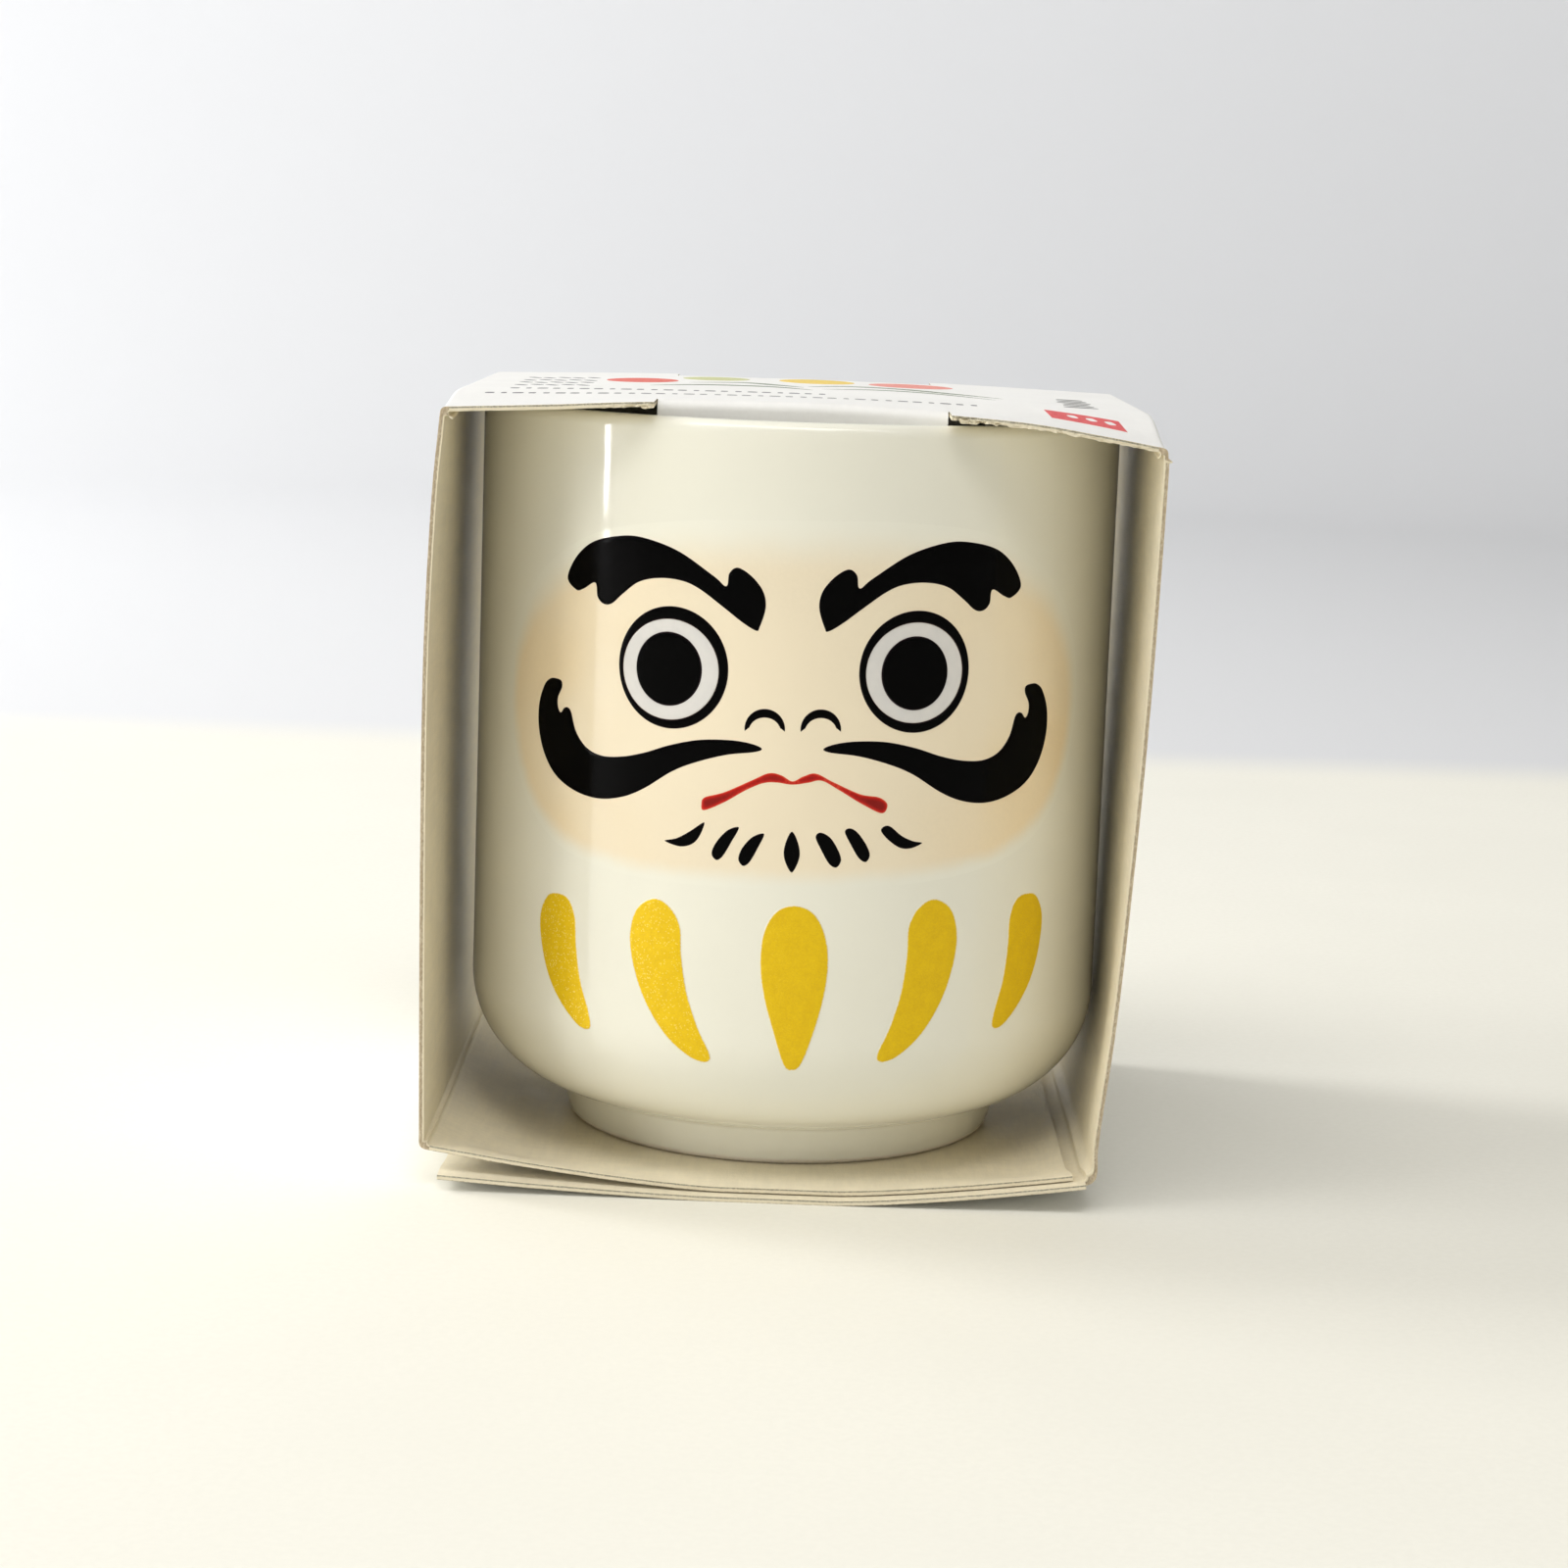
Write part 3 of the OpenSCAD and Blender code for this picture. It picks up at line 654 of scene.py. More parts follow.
WING_RIGHT = [(9.2, 38.2), (9.6, 38.7), (10.3, 38.6), (11.5, 37.6), (12.7, 37), (13.8, 36.7), (12.6, 36.2),
              (11.3, 36.3), (10, 37.2)]
OUTER_LEAF_RIGHT = [(5.4, 38.2), (5.9, 38.6), (6.7, 38.2), (7.6, 37), (8.1, 35.8), (7.7, 35), (6.9, 35.4),
                    (6, 36.9)]
INNER_LEAF_RIGHT = [(2.4, 37.7), (2.9, 38.2), (3.9, 37.7), (4.7, 36.5), (5.1, 35.3), (4.6, 34.5), (3.8, 34.9),
                    (2.9, 36.5)]
MIDDLE_LEAF = [(0, 38.3), (0.7, 37), (0.8, 35.5), (0, 34), (-0.8, 35.5), (-0.7, 37)]
FIELD = [(0, 70), (-12, 69.7), (-22, 68), (-30, 63.5), (-34.8, 57), (-36.2, 49.5), (-34, 41.5),
         (-28, 35.6), (-18, 32.9), (0, 32.3), (18, 32.9), (28, 35.6), (34, 41.5), (36.2, 49.5),
         (34.8, 57), (30, 63.5), (22, 68), (12, 69.7)]
OUTER_GOLD = [(-27.6, 29.9), (-25.8, 29.5), (-24.8, 27.6), (-24.6, 24.6), (-24, 21), (-22.8, 17.6),
              (-22.7, 16), (-24.2, 16), (-26.6, 17.9), (-28.6, 20.4), (-29.9, 23.6), (-30.3, 27),
              (-29.2, 29.3)]
INNER_GOLD = [(-15, 30.7), (-13.2, 30), (-12, 28), (-11.8, 24.8), (-11.2, 21), (-10, 17.4), (-8.7, 14.6),
              (-9.2, 13.7), (-11, 14.2), (-13.6, 16.3), (-15.8, 19.4), (-17.2, 22.8), (-17.8, 26.4),
              (-17, 29.4)]
CENTRE_GOLD = [(-0.2, 30.6), (1.8, 29.9), (3.1, 27.6), (3.5, 24.4), (3, 20.6), (1.8, 16.4), (0.7, 13.7),
               (-0.2, 13.1), (-1.1, 13.7), (-2.2, 17.2), (-3.2, 21), (-3.6, 24.6), (-3.2, 27.8),
               (-2, 29.9)]
FOOT_RISE = 4.2
LEAN, ART_SHIFT, ART_PIVOT, GOLD_SHIFT = math.radians(1.6), 0.2, 47.0, 0.4
# The back of an enamel lies this far under the glaze and the back of an ink this far in the board.
ENAMEL_BACK, INK_BACK = -0.03, -0.01
# Centres of the left and the right eye: the ring's outside, its white and the pupil.
EYE_AT = {"left": (-12.7, 54.75), "right": (12.8, 54.5)}
WHITE_AT = {"left": (-12.95, 54.55), "right": (12.75, 54.4)}
PUPIL_AT = {"left": (-13.05, 54.6), "right": (12.7, 54.35)}
EYE_OUTER, EYE_WHITE, PUPIL_SIZE = (6.1, 6.3), (5.3, 5.15), (3.65, 3.8)
BROW_TURN, BROW_CENTRE, BROW_SHIFT = -1.2, (12, 62), (-0.25, -0.2)
MOUSTACHE_TURN, MOUSTACHE_TIP = -0.7, (3.1, 46.8)
NOSTRIL_AT, NOSTRIL_R, NOSTRIL_W = (2.85, 48.8), 2.1, 0.95


def turned(loop, degrees, centre):
    """The loop turned about a centre: (a cos t - b sin t, a sin t + b cos t) from there."""
    a, b = (np.asarray(loop, float) - centre).T
    t = math.radians(degrees)
    return np.stack([a * math.cos(t) - b * math.sin(t), a * math.sin(t) + b * math.cos(t)], -1) + centre


def leaned(loop):
    """The picture turned by its lean about its pivot, and shifted along the surface."""
    a, b = np.asarray(loop, float).T
    b = b - ART_PIVOT
    return np.stack([a * math.cos(LEAN) - b * math.sin(LEAN) + ART_SHIFT,
                     a * math.sin(LEAN) + b * math.cos(LEAN) + ART_PIVOT], -1)


def on_cup(cup):
    """Returns place(a, b, h): the picture is seen from the front, so x = R sin(a / R) and
    y = -sqrt(r(b)^2 - x^2), where r(b) is the cup's own radius at height b, and h goes along the surface's
    normal."""
    radius, shoulder = cup.radius / MM, cup.shoulder / MM
    shoulder_z = shoulder + FOOT_RISE

    def place(a, b, h):
        sine = np.clip((shoulder_z - b) / shoulder, 0, 1)
        cosine = np.sqrt(1 - sine**2)
        r = radius - shoulder + shoulder * cosine
        x = radius * np.sin(a / radius)
        y = -np.sqrt(r**2 - x**2)
        return np.stack([x + h * x / r * cosine, y + h * y / r * cosine, b + FOOT_Z - h * sine], -1)

    return place


def nostril():
    """A half ring that opens downwards: its outside is a circle, and its width thins to both ends as
    0.55 + 0.45 sin t."""
    t = np.radians(np.linspace(-10, 190, 41))
    outer = NOSTRIL_R * np.stack([np.cos(t), np.sin(t)], -1)
    t = np.radians(np.linspace(180, 0, 37))
    radius = NOSTRIL_R - NOSTRIL_W * (0.55 + 0.45 * np.sin(t))
    return np.vstack([outer, radius[:, None] * np.stack([np.cos(t), np.sin(t)], -1)])


def enamel(name, loops, cup, layers, slot, nodes, material, grain, **edge):
    """A print on the cup, so many layers of enamel thick, with the lean of the whole face."""
    film(name, [leaned(loop) for loop in loops], on_cup(cup), ENAMEL_BACK, layers * (cup.enamel / MM), "cup",
         slot, nodes, material, grain, **edge)


# ---------------------------------------------------------------- the sleeve's lines

# Each panel is a curve in X and Z, run round the sleeve so that the inside is on its right, at the front
# edge and further back.
LEFT_FRONT = [(-37.25, 5), (-37.65, 32), (-37.75, 55), (-37.25, 71), (-36.55, 80.2)]
LEFT_FULL = [(-37.25, 5), (-37.55, 32), (-37.55, 55), (-37.1, 81.2)]
TOP_FRONT = [(-35.6, 81.25), (-25.6, 81.8), (-15, 82.45), (-2, 82.65), (8, 82.5), (21.8, 81.75),
             (30, 80.7), (36, 79.75)]
TOP_FULL = [(-36.2, 82.1), (-18, 82.6), (0, 82.75), (18, 82.6), (36.3, 82.1)]
RIGHT_FRONT = [(36.95, 78.9), (37.05, 75.5), (36.4, 49.6), (35, 22.8), (33.65, 8.2), (33.6, 4.6)]
RIGHT_FULL = [(37.2, 81.2), (36.9, 60), (36.3, 35), (35.85, 17), (34.6, 8.5), (33.9, 4)]
# The front curve has eased into the full one SETTLE behind the front edge, and the bottom's after
# BOTTOM_SETTLE. The bottom is flat out to FRONT_FLAT or FULL_FLAT and lifts towards its creases.
SETTLE, BOTTOM_SETTLE, FRONT_FLAT, FULL_FLAT, CREASE_X = 22, 9, 6, 26, 37
FRONT_LIFT, FULL_LIFT, FREE_FRONT_LIFT, FREE_FULL_LIFT = 3.45, 3.4, 1.4, 0.7
INNER_ENDS, OUTER_ENDS, GLUE, OUTER_AHEAD = (31.1, -36.2), (32.4, -35.15), 0.15, 1.5
# A heading is worked out over this much of u to both sides.
NUDGE = 0.001
# The top: how far back a notch begins, its play beside a tab, half the gap in the columns of points at a
# notch's side, and how far out the columns go before they are fitted between the folds.
NOTCH_END, NOTCH_PLAY, NOTCH_STEP, TOP_REACH = 27.24, 0.2, 0.012, 36


def dish(x, flat, lift):
    """Lift of the bottom towards its sides: lift (max(|x| - flat, 0) / (crease - flat))^1.4."""
    return lift * (np.maximum(np.abs(x) - flat, 0) / (CREASE_X - flat)) ** 1.4


def settled(y, over):
    """How far the board has settled behind its front edge, from 0 to 1: eased over a distance."""
    return ease((y - FRONT_Y) / over)[..., None]


def line(name, u, y, board):
    """The outside line of a panel at u and y: its front curve eased into its full curve."""
    pairs = {"left": (LEFT_FRONT, LEFT_FULL), "top": (TOP_FRONT, TOP_FULL),
             "right": (RIGHT_FRONT, RIGHT_FULL)}
    if name in pairs:
        front, full = pairs[name]
        return mix(along(front, u), along(full, u), settled(y, SETTLE))
    s = settled(y, BOTTOM_SETTLE)[..., 0]
    if name == "inner":
        x = mix(*INNER_ENDS, u)
        lift = mix(dish(x, FRONT_FLAT, FRONT_LIFT), dish(x, FULL_FLAT, FULL_LIFT), s)
        return np.stack([x, board + GLUE + lift], -1)
    x = mix(*OUTER_ENDS, u)
    front = np.where(x > 0, FRONT_LIFT, FREE_FRONT_LIFT)
    full = np.where(x > 0, FULL_LIFT, FREE_FULL_LIFT)
    return np.stack([x, mix(dish(x, FRONT_FLAT, front), dish(x, FULL_FLAT, full), s)], -1)


def heading(name, u, y, board):
    """The direction of a line at u: the step from just before to just after it, made one long."""
    d = line(name, u + NUDGE, y, board) - line(name, u - NUDGE, y, board)
    return d / np.linalg.norm(d, axis=-1, keepdims=True)


def cross(p, q):
    """px qy - py qx of two arrays of flat vectors."""
    return (p[..., 0] * q[..., 1] - p[..., 1] * q[..., 0])[..., None]


def crease(pair, u, y, board):
    """A tight bend from the end of one line to the start of the next: a quadratic Bezier curve whose
    middle point is where the two headings meet. Returns the points and their headings."""
    a, b = pair
    one, none = np.ones_like(u), np.zeros_like(u)
    p0, t0 = line(a, one, y, board), heading(a, one * (1 - NUDGE), y, board)
    p2, t2 = line(b, none, y, board), heading(b, one * NUDGE, y, board)
    p1 = p0 + t0 * cross(p2 - p0, t2) / cross(t0, t2)
    v = u[..., None]
    d = mix(p1 - p0, p2 - p1, v)
    return mix(mix(p0, p1, v), mix(p1, p2, v), v), d / np.linalg.norm(d, axis=-1, keepdims=True)


def lift_off(p, h, y, depth_mm):
    """Points depth_mm inside the outside line: (x, z) + depth (hz, -hx), with y as it is."""
    q = p + np.stack([h[..., 1], -h[..., 0]], -1) * depth_mm[..., None]
    return np.stack([q[..., 0], y, q[..., 1]], -1)


def top_u(x, y):
    """The u at which the top line has a given x, found by halving."""
    low, high = np.full(x.shape, -0.02), np.full(x.shape, 1.02)
    for _ in range(24):
        u = (low + high) / 2
        left = line("top", u, y, 0)[..., 0] < x
        low, high = np.where(left, u, low), np.where(left, high, u)
    return (low + high) / 2


def on_top(x, y, h):
    """Place of a printed point on the top panel: h above its outside face."""
    x, y = np.asarray(x, float), np.asarray(y, float)
    u = top_u(x, y)
    direction = heading("top", np.clip(u, NUDGE, 1 - NUDGE), y, 0)
    return lift_off(line("top", u, y, 0), direction, y, -np.asarray(h))


# The layers of points in the board, from its outside at 0 to its inside at 1, and the columns of points
# across a panel, across a fold, across the top to each side of the notches, and between their sides.
DEPTHS = np.array([0.0, 0.25, 0.5, 0.75, 1.0])
PANEL_COLUMNS, FOLD_COLUMNS, SIDE_COLUMNS, NOTCH_COLUMNS = 73, 19, 110, 60


def fray(lattice, amount, seed):
    """Ragged cut edges: the front and back rows are pushed along Y by a jitter of their own at each depth,
    six parts of a coarse one to four of a fine one."""
    x = lattice[:, 0, 0, 0] + lattice[:, 0, 0, 2]
    for k in range(lattice.shape[2]):
        for row, sign in ((0, -1), (-1, 1)):
            wave = jitter(x, 0.9, seed + k) * 0.6 + jitter(x, 0.28, seed + 40 + k) * 0.4
            lattice[:, row, k, 1] += sign * amount * wave
    return lattice


def front_rows(rows):
    """Shares of the depth of the sleeve, closer together towards the front edge: v^1.6."""
    return np.linspace(0, 1, rows) ** 1.6


def sleeve_rows(sleeve):
    """The Y of each row of points from the front edge to the back edge."""
    return mix(FRONT_Y, BACK_Y, front_rows(sleeve.facets))


def piece_of_board(name, lattice, node, materials, body="sleeve"):
    """A piece of board from its lattice, in place of a node, with each point's depth stored."""
    points, faces, depth, kinds = slab(lattice)
    piece = new_piece(name, points, faces, body, "white_paperboard", [node], materials, kinds)
    give(piece, "depth", depth)
    return piece


def net_of(columns, y):
    """u in equal steps from 0 to 1 and the given rows of y, as two grids."""
    u = np.linspace(0, 1, columns)[:, None] * np.ones_like(y)[None, :]
    return u, np.broadcast_to(y, u.shape)


def sheet_lattice(name, u, y, board):
    """The lattice of a panel: the outside line at u, y, thickened inwards."""
    p, h = line(name, u, y, board), heading(name, np.clip(u, NUDGE, 1 - NUDGE), y, board)
    return np.stack([lift_off(p, h, y, np.full(u.shape, board * d)) for d in DEPTHS], 2)


def fold_lattice(pair, columns, y, board, bead):
    """The lattice of a corner: the crease's bend, whose inside swells by bead sin^2(pi u) where the plies
    buckle, and whose outside rises by a tenth of that."""
    u, yy = net_of(columns, y)
    p, h = crease(pair, u, yy, board)
    swell = bead * np.sin(PI * u) ** 2 * (1 + 0.12 * jitter(yy, 2.3, 11))
    return np.stack([lift_off(p, h, yy, mix(-0.10 * swell, board + swell, d)) for d in DEPTHS], 2)


# ---------------------------------------------------------------- operators


class CupBody(bpy.types.Operator):
    """Turn the cup: foot ring, shoulder, straight side, rounded lip and hollow"""
    bl_idname = "tea_cup.body"
    bl_label = "Cup body"
    bl_options = {"REGISTER", "UNDO"}

    def execute(self, context):
        cup = context.scene.tea_cup
        r, height, wall = cup.radius / MM, cup.height / MM, cup.wall / MM
        shoulder, foot = cup.shoulder / MM, cup.foot_radius / MM
        lip, recess, floor, fillet, ring_w = wall / 2, 3.0, 7.2, 14.0, 3.2
        centre = (r - shoulder, FOOT_RISE + shoulder)
        profile = np.vstack([
            [(0, recess), (foot - ring_w - 6, recess)],
            arc((foot - ring_w - 0.9, recess - 0.9), 0.9, 90, 0, 7),
            arc((foot - ring_w + 0.7, 0.6), 0.6, 180, 270, 7),
            arc((foot - 0.75, 0.7), 0.7, 270, 355, 8),
            [(foot + 0.25, 1.2), (foot + 0.55, 2.4), (foot + 0.82, 3.4)],
            arc((foot + 1.72, 3.62), 0.82, 172, 112, 12),
            arc(centre, shoulder, -77, 0, 64),
            [(r, z) for z in np.linspace(FOOT_RISE + shoulder + 2, height - lip - 2, 24)],
            arc((r - lip, height - lip), lip, 0, 180, 24),
            [(r - wall, z) for z in np.linspace(height - lip - 2, floor + fillet + 2, 16)],
            arc((r - wall - fillet, floor + fillet), fillet, 0, -90, 32),
            [(r - wall - fillet - 6, floor), (6, floor), (0, floor)]])
        profile[:, 1] += FOOT_Z
        points, faces = lathe(profile, 288)
        new_piece("cup_porcelain", points, faces, "cup", "white_porcelain", ["cup_body"],
                  [paint_porcelain(cup)], sharp=60)
        return {"FINISHED"}


class Face(bpy.types.Operator):
    """Print the face: cream ground, brows, eyes, nose, moustache, mouth and whiskers"""
    bl_idname = "tea_cup.face"
    bl_label = "Face"
    bl_options = {"REGISTER", "UNDO"}

    def execute(self, context):
        cup = context.scene.tea_cup
        whites = {side: ring(*EYE_WHITE) + at for side, at in WHITE_AT.items()}
        black = paint_black(cup)
        enamel("face_ground", [outline(FIELD), *whites.values()], cup, 1, "flesh_enamel", ["face_field"],
               paint_flesh(cup), 0.8, feather=1.6)

        def stroke(name, loops, node):
            enamel(name, loops, cup, 2, "black_enamel", [node], black, 0.5)

        brows = {"left": BROW, "right": turned(mirrored(BROW), BROW_TURN, BROW_CENTRE) + BROW_SHIFT}
        moustaches = {"left": MOUSTACHE,
                      "right": turned(mirrored(MOUSTACHE), MOUSTACHE_TURN, MOUSTACHE_TIP)}
        eye_white = paint_eye_white()
        for side in ("left", "right"):
            stroke(f"brow_stroke_{side}", [outline(brows[side])], f"brow_{side}")
            stroke(f"moustache_stroke_{side}", [outline(moustaches[side])], f"moustache_{side}")
            stroke(f"eye_ring_{side}", [ring(*EYE_OUTER) + EYE_AT[side], whites[side]], f"eye_outline_{side}")
            pupil = ring(*PUPIL_SIZE) + PUPIL_AT[side]
            stroke(f"pupil_disc_{side}", [pupil], f"pupil_{side}")
            enamel(f"eye_white_{side}", [whites[side], pupil], cup, 0.6, "white_porcelain", [], eye_white,
                   0.5)
        stroke("nostril_arcs", [nostril() + (sign * NOSTRIL_AT[0], NOSTRIL_AT[1]) for sign in (-1, 1)],
               "nose_marks")
        leaves = (WING, OUTER_LEAF, INNER_LEAF, MIDDLE_LEAF, INNER_LEAF_RIGHT, OUTER_LEAF_RIGHT, WING_RIGHT)
        stroke("chin_strokes", [outline(leaf) for leaf in leaves], "chin_whiskers")
        enamel("mouth_stroke", [outline(MOUTH)], cup, 2, "red_enamel", ["mouth_line"], paint_red(cup), 0.3,
               soft=0.12)
        return {"FINISHED"}


class GoldStrokes(bpy.types.Operator):
    """Print the five gold strokes under the face"""
    bl_idname = "tea_cup.gold_strokes"
    bl_label = "Gold strokes"
    bl_options = {"REGISTER", "UNDO"}

    def execute(self, context):
        cup = context.scene.tea_cup
        gold = paint_gold(cup)
        shapes = [OUTER_GOLD, INNER_GOLD, CENTRE_GOLD, mirrored(INNER_GOLD), mirrored(OUTER_GOLD)]
        for number, shape in enumerate(shapes, 1):
            enamel(f"gold_leaf_{number}", [outline(shape) + (GOLD_SHIFT, 0)], cup, 1, "gold_enamel",
                   [f"gold_stroke_{number}"], gold, 0.6)
        return {"FINISHED"}


def board_set(sleeve, cut):
    """The materials of a piece of board: its printed face, its inside face and a cut edge in one of three
    tones. All of them are made the first time."""
    if "board_coated" not in bpy.data.materials:
        pale, grey, pulp = shade(sleeve.liner, 1.04), (0.30, 0.28, 0.22), sleeve.pulp
        paint_board("board_coated", sleeve.coated, shade(sleeve.coated, 0.93), 0.42, 0.35, 0.02)
        paint_board("board_liner", sleeve.liner, shade(sleeve.liner, 0.88), 0.48, 0.6, 0.04)
        paint_cut(sleeve, "cut_wall", [
            (0.0, shade(pulp, 1.15)), (0.30, pulp), (0.62, shade(pulp, 0.85)), (0.80, pale)])
        paint_cut(sleeve, "cut_top", [
            (0.0, pale), (0.14, grey), (0.34, shade(grey, 1.4)), (0.46, pale), (1.0, shade(pale, 0.95))])
        paint_cut(sleeve, "cut_bottom", [
            (0.0, shade(pulp, 0.7)), (0.16, pale), (0.62, pale), (0.78, grey), (1.0, shade(grey, 1.5))])
    return [bpy.data.materials[name] for name in ("board_coated", "board_liner", cut)]


class Panels(bpy.types.Operator):
    """Cut the sleeve's two walls, its two bottom panels and the glue between them"""
    bl_idname = "tea_cup.panels"
    bl_label = "Panels"
    bl_options = {"REGISTER", "UNDO"}

    def execute(self, context):
        sleeve = context.scene.tea_sleeve
        board, rows = sleeve.board / MM, sleeve_rows(sleeve)
        panels = (("left", "wall_left", "left_wall", "cut_wall"),
                  ("right", "wall_right", "right_wall", "cut_wall"),
                  ("inner", "bottom_inner", "bottom_inner_panel", "cut_bottom"),
                  ("outer", "bottom_outer", "bottom_outer_panel", "cut_bottom"))
        for seed, (side, name, node, cut) in enumerate(panels):
            u, y = net_of(PANEL_COLUMNS, rows - (OUTER_AHEAD if side == "outer" else 0))
            lattice = fray(sheet_lattice(side, u, y, board), 0.05, 100 * seed)
            piece_of_board(name, lattice, node, board_set(sleeve, cut))
        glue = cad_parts["glue_strip"]
        glue.data.materials.clear()
        glue.data.materials.append(paint_glue())
        return {"FINISHED"}


class TopPanel(bpy.types.Operator):
    """Cut the sleeve's top with its two notches and the torn fibres beside them"""
    bl_idname = "tea_cup.top_panel"
    bl_label = "Top panel"
    bl_options = {"REGISTER", "UNDO"}

    def execute(self, context):
        sleeve = context.scene.tea_sleeve
        notch = TAB_HIGH[0] + NOTCH_PLAY
        inner, outer = notch - NOTCH_STEP, notch + NOTCH_STEP
        base = np.concatenate([np.linspace(-TOP_REACH, -outer, SIDE_COLUMNS),
                               np.linspace(-inner, inner, NOTCH_COLUMNS),
                               np.linspace(outer, TOP_REACH, SIDE_COLUMNS)])
        notched = np.abs(base) < notch
        front = np.where(notched, -NOTCH_END, FRONT_Y)[:, None]
        back = np.where(notched, NOTCH_END, BACK_Y)[:, None]
        y = mix(front, back, front_rows(sleeve.facets)[None, :])
        board = sleeve.board / MM
        ends = [line("top", np.full(y.shape, e), y, board)[..., 0] for e in (0.0, 1.0)]
        x = np.broadcast_to(base[:, None], y.shape).copy()
        x = np.where(x < -notch, mix(ends[0], -notch, (x + TOP_REACH) / (TOP_REACH - notch)), x)
        x = np.where(x > notch, mix(notch, ends[1], (x - notch) / (TOP_REACH - notch)), x)
        lattice = fray(sheet_lattice("top", top_u(x, y), y, board), 0.06, 500)
        side = lattice[:, 0, 0, 0]
        torn = np.where(notched, 0, np.clip(1 - (np.abs(side) - notch) / 6.5, 0, 1) + 0.45 * (side > notch))
        for k, d in enumerate(DEPTHS):
            wave = jitter(side, 0.75, 540 + k) * 0.55 + jitter(side, 0.22, 560 + k) * 0.45
            lattice[:, 0, k, 1] += torn * np.maximum(wave, -0.4) * (0.16 + 0.5 * d)
            lattice[:, 0, k, 2] -= torn * np.maximum(jitter(side, 0.5, 580 + k), 0) * 0.30 * d**2
        piece_of_board("top_board", lattice, "top_panel", board_set(sleeve, "cut_top"))
        return {"FINISHED"}


class Folds(bpy.types.Operator):
    """Fold the four corners, each with the bead of a scored crease"""
    bl_idname = "tea_cup.folds"
    bl_label = "Folds"
    bl_options = {"REGISTER", "UNDO"}

    def execute(self, context):
        sleeve = context.scene.tea_sleeve
        corners = [("top_left", ("left", "top"), 0.9), ("top_right", ("top", "right"), 0.65),
                   ("bottom_left", ("inner", "left"), 0.5), ("bottom_right", ("right", "outer"), 0.45)]
        for seed, (corner, pair, bead) in enumerate(corners):
            lattice = fold_lattice(pair, FOLD_COLUMNS, sleeve_rows(sleeve), sleeve.board / MM, bead)
            piece_of_board(f"crease_{corner}", fray(lattice, 0.07, 700 + 100 * seed), f"fold_{corner}",
                           board_set(sleeve, "cut_wall"))
        return {"FINISHED"}


class LockTabs(bpy.types.Operator):
    """Roll the two lock tabs over their creases into the cup's mouth"""
    bl_idname = "tea_cup.lock_tabs"
    bl_label = "Lock tabs"
    bl_options = {"REGISTER", "UNDO"}

    def execute(self, context):
        """A path runs round a quarter circle and down; each point of it is spread across the tab, whose
        half width narrows to round corners as w - r + sqrt(r^2 - (r - d)^2), d from the end."""
        sleeve = context.scene.tea_sleeve
        board, bend, drop, corner = sleeve.board / MM, sleeve.tab_bend / MM, sleeve.tab_length / MM, 4.0
        half = float(TAB_HIGH[0])
        axis_y, axis_z = float(TAB_LOW[1]) + bend, float(TAB_HIGH[2]) - bend
        turn = np.radians(np.linspace(90, 180, 15))
        fall = drop * (1 - (1 - np.linspace(0, 1, 40)[1:]) ** 1.3)
        dy = np.concatenate([np.cos(turn), -np.ones(len(fall))])
        dz = np.concatenate([np.sin(turn), np.zeros(len(fall))])
        sink = np.concatenate([np.zeros(len(turn)), fall])
        left = np.clip(corner - (drop - sink), 0, corner)
        width = half - corner + np.sqrt(corner**2 - left**2)
        t = np.linspace(-1, 1, 61)[:, None]
        x = t * width[None, :]
        arch = on_top(x, np.full(x.shape, axis_y), np.zeros(x.shape))[..., 2] - float(TAB_HIGH[2])
        arch = arch * np.clip(1 - sink / drop, 0, 1)[None, :]
        for side, sign in (("front", 1), ("rear", -1)):
            layers = []
            for k, d in enumerate(DEPTHS):
                reach = bend - board * d
                wave = 0.05 * jitter(x * sign + 7 * sign, 1.1, 900 + k) * (np.abs(t) > 0.99)
                layers.append(np.stack([x + wave, sign * (axis_y + reach * dy[None, :] + 0 * x),
                                        axis_z + reach * dz[None, :] - sink[None, :] + arch], -1))
            piece = piece_of_board(f"lock_tab_{side}", np.stack(layers, 2), f"{side}_lock_tab",
                                   board_set(sleeve, "cut_bottom"), None)
            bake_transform(piece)
        return {"FINISHED"}


